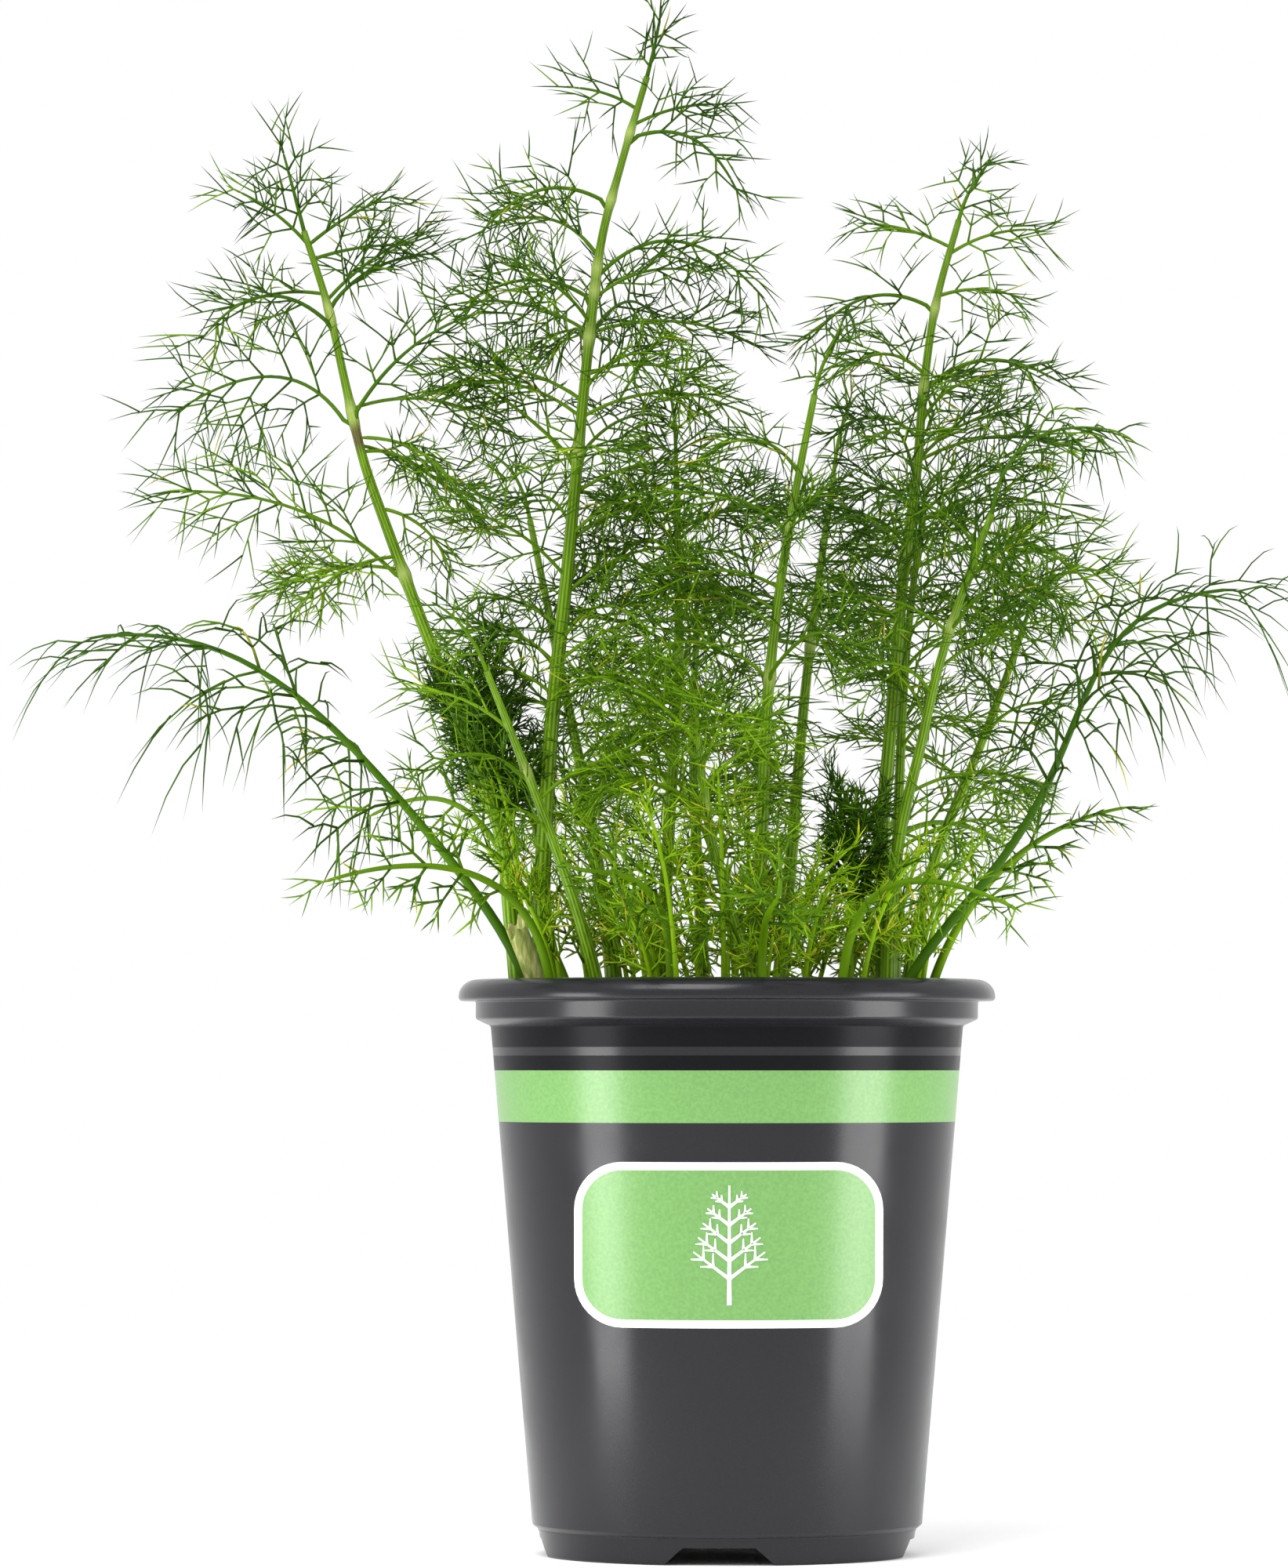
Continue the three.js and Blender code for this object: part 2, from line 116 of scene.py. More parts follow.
class PotSizes(bpy.types.PropertyGroup):
    lip_height: size_setting("Lip height", "Height of the rolled lip", 4.1)
    lip_overhang: size_setting("Lip overhang", "How far the lip stands out past the collar", 3.3)
    collar_height: size_setting("Collar height", "Height of the plain collar under the lip", 3.5)
    collar_step: size_setting("Collar step", "How far the collar stands out past the wall", 2.9)
    wall: size_setting("Wall", "Thickness of the plastic", 1)
    foot_height: size_setting("Foot height", "Height of the groove above the foot", 5.9)
    notch_height: size_setting("Notch height", "Height of the notches in the foot ring", 3.3)
    band_low: size_setting("Band bottom", "Height of the lower edge of the green band", 82.8)
    band_high: size_setting("Band top", "Height of the upper edge of the green band", 92.6)
    label_width: size_setting("Label width", "Width of the printed label", 58)
    label_height: size_setting("Label height", "Height of the printed label", 31)
    label_middle: size_setting("Label place", "Height of the middle of the label", 60)
    plastic: colour_setting("Plastic", "Colour of the pot", (0.009, 0.0088, 0.0115))
    print_green: colour_setting("Print green", "Colour of the band and the label", (0.135, 0.305, 0.08))


class SoilSizes(bpy.types.PropertyGroup):
    crumb_count: count_setting("Crumbs", "Loose crumbs that lie on the soil", 420, 0, 900)
    crumb_size: size_setting("Crumb size", "Size of the larger crumbs", 2.2)
    soil_brown: colour_setting("Soil", "Colour of the damp soil", (0.028, 0.016, 0.009))


class PlantSizes(bpy.types.PropertyGroup):
    thread_width: size_setting("Thread width", "Width of a leaf thread at its foot", 0.5)
    thread_length: size_setting("Thread length", "Length of the last threads of a leaf", 10.5)
    leaf_spread: size_setting("Leaf spread", "Reach of the longest side branches of a leaf", 21)
    stem_ribs: count_setting("Stem ribs", "Ribs around a stem", 10, 4, 24)
    young_leaves: count_setting("Young leaves", "Small leaves that rise from the soil", 40, 0, 120)
    leaf_dark: colour_setting("Dark green", "Colour of the older threads", (0.036, 0.105, 0.002))
    leaf_light: colour_setting("Light green", "Colour of the young threads", (0.19, 0.36, 0.004))
    leaf_tip: colour_setting("Dry tip", "Colour of the threads that turn yellow", (0.72, 0.56, 0.05))
    stem_green: colour_setting("Stem green", "Colour of the stems", (0.13, 0.26, 0.005))
    seed: count_setting("Seed", "Changes how the threads fall", 7, 0, 999)


# ---------------------------------------------------------------- materials


# The sockets that a Mix node uses for colours: its factor and two inputs, and its output.
COLOUR_MIX_INPUTS = (0, 6, 7)
COLOUR_MIX_OUTPUT = 2


class Finish:
    """A material in the making: its nodes end in the colour, the roughness and the bump of one shader."""

    def __init__(self, name, roughness, specular=0.5):
        self.material = bpy.data.materials.new(name)
        self.material.use_nodes = True
        self.tree = self.material.node_tree
        self.shader = self.tree.nodes["Principled BSDF"]
        self.shader.inputs["Roughness"].default_value = roughness
        self.shader.inputs["Specular IOR Level"].default_value = specular

    def node(self, kind, **settings):
        node = self.tree.nodes.new("ShaderNode" + kind)
        for name, value in settings.items():
            setattr(node, name, value)
        return node

    def feed(self, socket, value):
        """Links an output to a socket, or sets the socket to a number or a colour."""
        if isinstance(value, bpy.types.NodeSocket):
            self.tree.links.new(value, socket)
        elif isinstance(value, (int, float)):
            socket.default_value = value
        else:
            socket.default_value = (*value, 1)

    def place(self):
        return self.node("TexCoord").outputs["Object"]

    def noise(self, scale, detail=3, stretch=None):
        """Noise on the object's own coordinates, drawn out upwards where a stretch is given."""
        place = self.place()
        if stretch:
            mapping = self.node("Mapping")
            mapping.inputs["Scale"].default_value = (1, 1, stretch)
            self.feed(mapping.inputs["Vector"], place)
            place = mapping.outputs[0]
        node = self.node("TexNoise")
        self.feed(node.inputs["Scale"], scale)
        self.feed(node.inputs["Detail"], detail)
        self.feed(node.inputs["Vector"], place)
        return node.outputs["Fac"]

    def ramp(self, factor, *stops):
        """A blend through (place, colour) stops."""
        node = self.node("ValToRGB")
        elements = node.color_ramp.elements
        while len(elements) < len(stops):
            elements.new(0.5)
        for element, (place, colour) in zip(elements, stops):
            element.position = place
            element.color = (*colour, 1)
        self.feed(node.inputs["Fac"], factor)
        return node.outputs["Color"]

    def mix(self, factor, first, second, blend="MIX"):
        """The first colour where the factor is 0, and the second blended into it where it is 1."""
        node = self.node("Mix", data_type="RGBA", blend_type=blend)
        factor_socket, first_socket, second_socket = (node.inputs[i] for i in COLOUR_MIX_INPUTS)
        self.feed(factor_socket, factor)
        self.feed(first_socket, first)
        self.feed(second_socket, second)
        return node.outputs[COLOUR_MIX_OUTPUT]

    def maths(self, operation, first, second, clamp=False):
        node = self.node("Math", operation=operation, use_clamp=clamp)
        self.feed(node.inputs[0], first)
        self.feed(node.inputs[1], second)
        return node.outputs[0]

    def attribute(self, name):
        return self.node("Attribute", attribute_name=name).outputs["Fac"]

    def paint(self, colour):
        self.feed(self.shader.inputs["Base Color"], colour)

    def bump(self, height, strength, distance):
        node = self.node("Bump")
        self.feed(node.inputs["Strength"], strength)
        self.feed(node.inputs["Distance"], distance)
        self.feed(node.inputs["Height"], height)
        self.feed(self.shader.inputs["Normal"], node.outputs["Normal"])


def grey(value):
    return (value, value, value)


def plastic_material(name, colour, roughness, specular):
    """Moulded plastic: slightly cloudy gloss, with a faint grain."""
    finish = Finish(name, roughness, specular)
    colour = Vector(colour)
    finish.paint(finish.ramp(finish.noise(1600, 2), (0.3, colour * 0.92), (0.7, colour * 1.08)))
    cloudy = finish.ramp(finish.noise(120, 4), (0.3, grey(roughness * 0.85)), (0.7, grey(roughness * 1.2)))
    finish.feed(finish.shader.inputs["Roughness"], cloudy)
    finish.bump(finish.noise(900), 0.02, 0.1 * MM)
    return finish.material


def print_material(name, colour, roughness=0.3):
    """Printing ink, a little uneven."""
    finish = Finish(name, roughness)
    colour = Vector(colour)
    finish.paint(finish.ramp(finish.noise(1600, 2), (0.32, colour * 0.9), (0.68, colour * 1.08)))
    finish.bump(finish.noise(2400, 2), 0.08, 0.05 * MM)
    return finish.material


def soil_material(sizes):
    """Damp peat, from nearly black to brown, with paler fibres."""
    finish = Finish("soil_mix", 0.95, 0.2)
    brown = Vector(sizes.soil_brown)
    base = finish.ramp(finish.noise(420, 6), (0.3, brown * 0.4), (0.5, brown), (0.68, brown * 2.3))
    fibre = finish.ramp(finish.noise(1300), (0.62, grey(0)), (0.72, grey(1)))
    finish.paint(finish.mix(fibre, base, (0.12, 0.075, 0.038)))
    finish.bump(finish.noise(1500, 8), 0.7, 0.8 * MM)
    return finish.material


def crumb_material(sizes):
    """Bark and grit: each crumb has its own shade, and a few are pale."""
    finish = Finish("soil_crumbs", 0.9, 0.25)
    brown = Vector(sizes.soil_brown)
    base = finish.ramp(
        finish.attribute("shade"), (0.0, brown * 0.5), (0.6, brown * 1.6), (0.9, (0.13, 0.085, 0.05)),
        (0.97, (0.62, 0.58, 0.5)))
    speck = finish.ramp(finish.noise(2200, 4), (0.35, grey(0.55)), (0.65, grey(1.25)))
    finish.paint(finish.mix(1, base, speck, "MULTIPLY"))
    finish.bump(finish.noise(2600, 5), 0.5, 0.4 * MM)
    return finish.material


# Painted shade and light by height: the height at which a leaf keeps its own colour, and how much darker it
# is painted per metre above that and lighter per metre below.
PAINTED_SHADE_LEVEL = 190 * MM
PAINTED_SHADE_PER_METRE = 2.6
# How much the shade drifts from one part of the plant to another.
LEAF_DRIFT = 0.9


def leaf_material(name, sizes, youth):
    """Threads from dark to light green, with painted shade that darkens them higher up and painted light that
    lightens them lower down: each thread has its own shade, and a few tips turn yellow."""
    finish = Finish(name, 0.5, 0.07)
    dark, light = Vector(sizes.leaf_dark), Vector(sizes.leaf_light)
    drift = finish.maths("MULTIPLY", finish.maths("SUBTRACT", finish.noise(22, 2), 0.5), LEAF_DRIFT)
    split = finish.node("SeparateXYZ")
    finish.feed(split.inputs[0], finish.place())
    # Painted shade above the middle height and painted light below it.
    below = finish.maths("SUBTRACT", PAINTED_SHADE_LEVEL, split.outputs["Z"])
    factor = finish.maths("ADD", finish.attribute("shade"), drift)
    factor = finish.maths("ADD", factor, finish.maths("MULTIPLY", below, PAINTED_SHADE_PER_METRE))
    factor = finish.maths("ADD", factor, youth, clamp=True)
    base = finish.ramp(factor, (0.0, dark * 0.6), (0.35, dark), (0.75, (dark + light) / 2), (1.0, light))
    dry = finish.maths("MULTIPLY", finish.attribute("dry"), finish.attribute("along"), clamp=True)
    finish.paint(finish.mix(dry, base, sizes.leaf_tip))
    finish.bump(finish.noise(3000, 2), 0.15, 0.1 * MM)
    return finish.material


def stem_material(sizes):
    """Green with pale ribs, darker with height, a pale ring at each joint and one reddish spot."""
    finish = Finish("stem_green", 0.42, 0.2)
    green = Vector(sizes.stem_green)
    streak = finish.noise(1500, 3, stretch=0.06)
    ribs = finish.maths("MULTIPLY", finish.attribute("rib"), 0.5)
    factor = finish.maths("ADD", ribs, finish.maths("MULTIPLY", streak, 0.5))
    colour = finish.ramp(factor, (0.25, green * 0.42), (0.5, green), (0.75, green * 1.6))
    high = finish.maths("MULTIPLY", finish.attribute("height"), 0.6, clamp=True)
    colour = finish.mix(high, colour, green * 0.42)
    colour = finish.mix(finish.attribute("joint"), colour, (0.28, 0.37, 0.08))
    finish.paint(finish.mix(finish.attribute("blush"), colour, (0.10, 0.02, 0.035)))
    finish.bump(streak, 0.25, 0.15 * MM)
    return finish.material


def cut_material():
    """Fibres of a cut stalk that have dried from green to straw."""
    finish = Finish("cut_stalk", 0.75, 0.3)
    streak = finish.noise(1300, 4, stretch=0.12)
    finish.paint(finish.ramp(
        streak, (0.3, (0.15, 0.20, 0.03)), (0.5, (0.29, 0.32, 0.08)), (0.7, (0.52, 0.48, 0.24))))
    finish.bump(streak, 0.6, 0.3 * MM)
    return finish.material


# ---------------------------------------------------------------- pieces


def add_mesh(name, corners, faces, **values):
    """A new object of corners and faces, with a number per corner under each name that is given."""
    mesh = bpy.data.meshes.new(name)
    mesh.from_pydata(np.asarray(corners).tolist(), [], faces)
    for label, numbers in values.items():
        store = mesh.attributes.new(label, "FLOAT", "POINT")
        store.data.foreach_set("value", np.asarray(numbers, np.float32))
    piece = bpy.data.objects.new(name, mesh)
    bpy.context.scene.collection.objects.link(piece)
    return piece


def finish_piece(piece, slot, *materials, nodes=()):
    """Gives a piece its materials and its place in the frame: its body, and hides the CAD nodes that it
    stands for. The slot is not used."""
    for material in materials:
        piece.data.materials.append(material)
    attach(piece, BODY)
    if nodes:
        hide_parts(*nodes)


def choose(piece):
    """Makes a piece the active object, with nothing else selected."""
    bpy.ops.object.select_all(action="DESELECT")
    piece.select_set(True)
    bpy.context.view_layer.objects.active = piece


def start_primitive(add, **settings):
    """Adds a primitive with nothing else selected, and opens it in edit mode with all of it selected."""
    bpy.ops.object.select_all(action="DESELECT")
    add(**settings)
    bpy.ops.object.mode_set(mode="EDIT")
    bpy.ops.mesh.select_all(action="SELECT")
    return bpy.context.active_object


def close_edit(piece, name):
    bpy.ops.object.mode_set(mode="OBJECT")
    bpy.ops.object.transform_apply(location=True, rotation=True, scale=True)
    piece.name = name
    piece.data.name = name


def apply_modifier(piece, kind, **settings):
    choose(piece)
    bpy.ops.object.modifier_add(type=kind)
    modifier = piece.modifiers[-1]
    for name, value in settings.items():
        setattr(modifier, name, value)
    bpy.ops.object.modifier_apply(modifier=modifier.name)


def smooth(piece, degrees):
    choose(piece)
    bpy.ops.object.shade_smooth_by_angle(angle=math.radians(degrees))


def turned(name, profile, segments):
    """A shape turned about the pot's axis: a round plate at the first (radius, height) point, whose edge
    is drawn through the others and closed at the last."""
    radius, height = profile[0]
    piece = start_primitive(
        bpy.ops.mesh.primitive_circle_add, vertices=segments, radius=radius, fill_type="NGON",
        location=(AXIS.x, AXIS.y, height))
    bpy.ops.mesh.select_mode(type="EDGE")
    bpy.ops.mesh.select_all(action="SELECT")
    bpy.ops.mesh.region_to_loop()
    for next_radius, next_height in profile[1:]:
        bpy.ops.mesh.extrude_edges_move(TRANSFORM_OT_translate={"value": (0, 0, next_height - height)})
        share = next_radius / radius
        bpy.ops.transform.resize(value=(share, share, 1), center_override=(AXIS.x, AXIS.y, next_height))
        radius, height = next_radius, next_height
    bpy.ops.mesh.edge_face_add()
    bpy.ops.mesh.select_all(action="SELECT")
    bpy.ops.mesh.normals_make_consistent(inside=False)
    close_edit(piece, name)
    return piece


# ---------------------------------------------------------------- pot


POT_SEGMENTS = 160
FOOT_DIAMETER = 74.7 * MM
FOOT_INSET = 1.25 * MM
FOOT_TAPER = 0.7 * MM
FOOT_SHOULDER = 0.9 * MM
FOOT_RING_WIDTH = 2.2 * MM
FOOT_CHAMFER = 0.2 * MM
FOOT_ROUND = 0.4 * MM
GROOVE_EDGE = 0.25 * MM
FLOOR_CLEARANCE = 3.6 * MM
FLOOR_THICKNESS = 1.2 * MM
WALL_RINGS = 12
INNER_WALL_RINGS = (80 * MM, 40 * MM)
COLLAR_SLOPE_HEIGHT = 1.6 * MM
COLLAR_FILLET = 0.6 * MM
LIP_FILLET = 0.5 * MM
LIP_EDGE = 0.7 * MM
LIP_EDGE_HEIGHT = 0.15 * MM
LIP_SLOPE = 3.5 * MM
LIP_SLOPE_STEP = 10
MOUTH_ROUND = 0.8 * MM
# Heights of the two strips of painted dark reflection above the green band.
LOW_PAINTED_REFLECTION_TOP = 95.4 * MM
HIGH_PAINTED_REFLECTION_LOW = 97.0 * MM
HIGH_PAINTED_REFLECTION_TOP = 101.3 * MM
NOTCH_COUNT = 4
NOTCH_BOTTOM_WIDTH = 21 * MM
NOTCH_TOP_WIDTH = 13.6 * MM
NOTCH_TURN = -3
NOTCH_BELOW = 1 * MM
DRAIN_DIAMETER = 9 * MM
DRAIN_CIRCLE = 46 * MM
DRAIN_SEGMENTS = 40


def arc(radius, height, size, start, end, steps):
    """Profile points on a round of that size about (radius, height), in degrees."""
    points = []
    for i in range(steps + 1):
        angle = math.radians(start + (end - start) * i / steps)
        points.append((radius + size * math.cos(angle), height + size * math.sin(angle)))
    return points


def pot_profile(sizes):
    """(radius, height) points from under the floor, up the outside, over the lip and down inside."""
    wall_foot = FOOT_DIAMETER / 2
    foot = wall_foot - FOOT_INSET
    stand = foot - FOOT_TAPER
    ring = stand - FOOT_RING_WIDTH
    groove = sizes.foot_height
    shoulder = groove - FOOT_SHOULDER
    collar = RIM_RADIUS - sizes.lip_overhang
    wall_top_radius = collar - sizes.collar_step
    lip_bottom = POT_TOP - sizes.lip_height
    collar_bottom = lip_bottom - sizes.collar_height
    wall_top = collar_bottom - COLLAR_SLOPE_HEIGHT
    lean = (wall_top_radius - wall_foot) / (wall_top - groove)
    floor_top = FLOOR_CLEARANCE + FLOOR_THICKNESS

    def wall_radius(height):
        return wall_foot + lean * (height - groove)

    profile = [(ring, FLOOR_CLEARANCE), (ring, FOOT_CHAMFER), (ring + FOOT_CHAMFER, 0.0)]
    profile += [(stand - FOOT_ROUND, 0.0)]
    profile += arc(stand - FOOT_ROUND, FOOT_ROUND, FOOT_ROUND, -70, 0, 4)
    profile += [(foot, shoulder - GROOVE_EDGE), (foot + 0.08 * MM, shoulder)]
    profile += [(wall_foot - 0.3 * MM, groove - GROOVE_EDGE), (wall_foot, groove + 0.1 * MM)]
    heights = [groove + (sizes.band_low - groove) * i / WALL_RINGS for i in range(1, WALL_RINGS)]
    heights += [sizes.band_low, sizes.band_high, LOW_PAINTED_REFLECTION_TOP, HIGH_PAINTED_REFLECTION_LOW, wall_top - 0.5 * MM]
    profile += [(wall_radius(height), height) for height in heights]
    profile += arc(wall_top_radius + COLLAR_FILLET, wall_top - 0.1 * MM, COLLAR_FILLET, 180, 118, 3)
    profile += arc(
        collar - COLLAR_FILLET, collar_bottom + COLLAR_FILLET * 0.7, COLLAR_FILLET, -62, 0, 4)
    profile += [(collar, lip_bottom - LIP_FILLET)]
    profile += arc(collar + LIP_FILLET, lip_bottom - LIP_FILLET, LIP_FILLET, 180, 90, 3)
    profile += arc(RIM_RADIUS - LIP_EDGE, lip_bottom + LIP_EDGE, LIP_EDGE, -90, 0, 5)
    slope_foot = lip_bottom + LIP_EDGE + LIP_EDGE_HEIGHT
    for degrees in range(0, 91, LIP_SLOPE_STEP):
        angle = math.radians(degrees)
        profile.append((
            RIM_RADIUS - LIP_SLOPE * (1 - math.cos(angle)),
            slope_foot + (POT_TOP - slope_foot) * math.sin(angle)))
    profile += arc(
        collar - sizes.wall + MOUTH_ROUND, POT_TOP - MOUTH_ROUND, MOUTH_ROUND, 90, 180, 4)[1:]
    profile += [(collar - sizes.wall, collar_bottom + 0.3 * MM), (wall_top_radius - sizes.wall, wall_top)]
    profile += [(wall_radius(height) - sizes.wall, height) for height in (*INNER_WALL_RINGS, floor_top)]
    return profile


def notch_cutters(sizes):
    """Wedges that cut the notches in the foot ring."""
    cutters = []
    slope = (NOTCH_BOTTOM_WIDTH - NOTCH_TOP_WIDTH) / 2 / sizes.notch_height
    wide = (NOTCH_BOTTOM_WIDTH + 2 * slope * NOTCH_BELOW) / NOTCH_TOP_WIDTH
    for i in range(NOTCH_COUNT):
        turn = math.radians(NOTCH_TURN + 360 / NOTCH_COUNT * i)
        away = Vector((math.sin(turn), -math.cos(turn), 0)) * (FOOT_DIAMETER / 2)
        middle = AXIS + away + Vector((0, 0, (sizes.notch_height - NOTCH_BELOW) / 2))
        cutter = start_primitive(bpy.ops.mesh.primitive_cube_add, size=1, location=middle)
        bpy.ops.transform.resize(
            value=(NOTCH_TOP_WIDTH, FOOT_DIAMETER / 4, sizes.notch_height + NOTCH_BELOW),
            center_override=middle)
        bpy.ops.mesh.select_mode(type="VERT")
        bpy.ops.mesh.select_all(action="DESELECT")
        shape = bmesh.from_edit_mesh(cutter.data)
        for corner in shape.verts:
            corner.select_set(corner.co.z < 0)
        shape.select_flush_mode()
        bmesh.update_edit_mesh(cutter.data)
        bpy.ops.transform.resize(value=(wide, 1, 1), center_override=middle)
        bpy.ops.object.mode_set(mode="OBJECT")
        cutter.rotation_euler.z = turn
        cutters.append(cutter)
    return cutters


def drain_cutters():
    """Five round cutters for the drain holes, one of them in the middle."""
    middles = [AXIS.copy()]
    for degrees in (45, 135, 225, 315):
        angle = math.radians(degrees)
        middles.append(AXIS + Vector((math.cos(angle), math.sin(angle), 0)) * (DRAIN_CIRCLE / 2))
    cutters = []
    for middle in middles:
        bpy.ops.object.select_all(action="DESELECT")
        bpy.ops.mesh.primitive_cylinder_add(
            vertices=DRAIN_SEGMENTS, radius=DRAIN_DIAMETER / 2, depth=4 * FLOOR_THICKNESS,
            location=middle + Vector((0, 0, FLOOR_CLEARANCE + FLOOR_THICKNESS / 2)))
        cutters.append(bpy.context.active_object)
    return cutters


class DILL_OT_pot(bpy.types.Operator):
    """Turn the thin pot, cut its notches and drain holes, and print its band"""

    bl_idname = "dill.pot"
    bl_label = "Pot"

    def execute(self, context):
        sizes = context.scene.dill_pot
        pot = turned("pot_shell", pot_profile(sizes), POT_SEGMENTS)
        cutters = notch_cutters(sizes) + drain_cutters()
        choose(cutters[0])
        for cutter in cutters:
            cutter.select_set(True)
        bpy.ops.object.join()
        cutter = bpy.context.active_object
        apply_modifier(pot, "BOOLEAN", object=cutter, operation="DIFFERENCE", solver="EXACT")
        bpy.data.objects.remove(cutter)
        smooth(pot, 30)
        pot.data.materials.clear()
        # The second material is painted dark reflection: darker plastic with a weaker shine, on the strips
        # above the green band.
        finish_piece(
            pot, "pot_plastic", plastic_material("pot_plastic", sizes.plastic, 0.22, 0.33),
            plastic_material("painted_dark_reflection", Vector(sizes.plastic) * 0.6, 0.28, 0.08),
            print_material("green_band", sizes.print_green, 0.28), nodes=["pot"])
        for face in pot.data.polygons:
            face.material_index = self.finish_at(sizes, face)
        return {"FINISHED"}

    def finish_at(self, sizes, face):
        """0 for plain plastic, 1 for a strip of painted dark reflection and 2 for the green band."""
        outward = Vector((face.center.x - AXIS.x, face.center.y - AXIS.y, 0))
        height = face.center.z
        if face.normal.dot(outward) <= 0 or height > HIGH_PAINTED_REFLECTION_TOP:
            return 0
        if sizes.band_low < height < sizes.band_high:
            return 2
        # Painted dark reflection: the two strips above the green band.
        return int(sizes.band_high < height < LOW_PAINTED_REFLECTION_TOP or height > HIGH_PAINTED_REFLECTION_LOW)


# ---------------------------------------------------------------- label


LABEL_BORDER = 1.5 * MM
LABEL_CORNER = 9 * MM
LABEL_LIFT = 0.06 * MM
LABEL_THICKNESS = 0.1 * MM
LABEL_COLUMNS = 40
LABEL_WHITE = (0.72, 0.73, 0.70)
SPRIG_SHARE = 0.72
SPRIG_PAIRS = 5
STROKE_STEPS = 6


def lay_on_wall(flat, lift):
    """Bends a flat piece in front of the pot onto its wall, and gives it a thickness."""
    apply_modifier(
        flat, "SHRINKWRAP", target=bpy.data.objects["pot_shell"], wrap_method="PROJECT",
        use_project_y=True, use_negative_direction=False, use_positive_direction=True, offset=lift)
    apply_modifier(flat, "SOLIDIFY", thickness=LABEL_THICKNESS, offset=0)
    smooth(flat, 40)


class DILL_OT_label(bpy.types.Operator):
    """Lay the printed label and its sprig on the front of the pot"""

    bl_idname = "dill.label"
    bl_label = "Label"

    def execute(self, context):
        sizes = context.scene.dill_pot
        front = Vector((AXIS.x, AXIS.y - RIM_RADIUS * 1.5, sizes.label_middle))
        label = start_primitive(
            bpy.ops.mesh.primitive_plane_add, size=1, location=front, rotation=(math.pi / 2, 0, 0))
        bpy.ops.transform.resize(
            value=(sizes.label_width, 1, sizes.label_height), center_override=front)
        bpy.ops.mesh.bevel(offset=LABEL_CORNER, segments=10, affect="VERTICES")
        bpy.ops.mesh.select_all(action="SELECT")
        bpy.ops.mesh.inset(thickness=LABEL_BORDER)
        shape = bmesh.from_edit_mesh(label.data)
        middle = max(shape.faces, key=lambda face: face.calc_area())
        middle.material_index = 1
        bmesh.update_edit_mesh(label.data)
        close_edit(label, "pot_label")
        finish_piece(
            label, "pot_plastic", print_material("label_white", LABEL_WHITE),
            print_material("label_green", sizes.print_green))
        bpy.ops.object.mode_set(mode="EDIT")
        for i in range(1, LABEL_COLUMNS):
            across = (i / LABEL_COLUMNS - 0.5) * sizes.label_width
            bpy.ops.mesh.select_all(action="SELECT")
            bpy.ops.mesh.bisect(plane_co=front + Vector((across, 0, 0)), plane_no=(1, 0, 0))
        bpy.ops.object.mode_set(mode="OBJECT")
        lay_on_wall(label, LABEL_LIFT)

        sprig = self.sprig(front, sizes.label_height * SPRIG_SHARE)
        lay_on_wall(sprig, LABEL_LIFT + LABEL_THICKNESS * 0.8)
        finish_piece(sprig, "pot_plastic", print_material("sprig_white", LABEL_WHITE))
        return {"FINISHED"}

    def sprig(self, front, height):
        """A plain stalk with pairs of rising strokes, as flat strips."""
        corners, faces = [], []

        def stroke(start, end, width):
            start, end = Vector(start), Vector(end)
            way = (end - start).normalized()
            aside = Vector((-way.y, way.x)) * (width / 2)
            first = len(corners)
            for i in range(STROKE_STEPS + 1):
                middle = start.lerp(end, i / STROKE_STEPS)
                narrow = 1 - 0.6 * i / STROKE_STEPS
                for side in (-1, 1):
                    point = middle + aside * (side * narrow)
                    corners.append((front.x + point.x, front.y, front.z + point.y))
            for a in range(first, first + 2 * STROKE_STEPS, 2):
                faces.append((a, a + 1, a + 3, a + 2))

        foot = -height / 2
        stroke((0, foot), (0, -foot), 0.9 * MM)
        for i in range(SPRIG_PAIRS):
            start = foot + height * (0.22 + 0.15 * i)
            reach = height * 0.30 * (1 - 0.13 * i)
            for side in (-1, 1):
                tip = (side * reach, start + reach * 0.75)
                stroke((0, start), tip, 0.7 * MM)
                for share in (0.45, 0.72):
                    fork = (tip[0] * share, start + reach * 0.75 * share)
                    stroke(fork, (fork[0], fork[1] + reach * 0.38), 0.55 * MM)
                    stroke(fork, (fork[0] + side * reach * 0.36, fork[1]), 0.55 * MM)
        return add_mesh("label_sprig", corners, faces)


# ---------------------------------------------------------------- soil


SOIL_RINGS = 44
SOIL_SEGMENTS = 128
# The roughness of the soil: the size of its lumps and how high they stand.
SOIL_LUMPS = {"lumps": (7 * MM, 2.4 * MM), "crumbs": (1.6 * MM, 1.3 * MM)}
CRUMB_SEED = 31


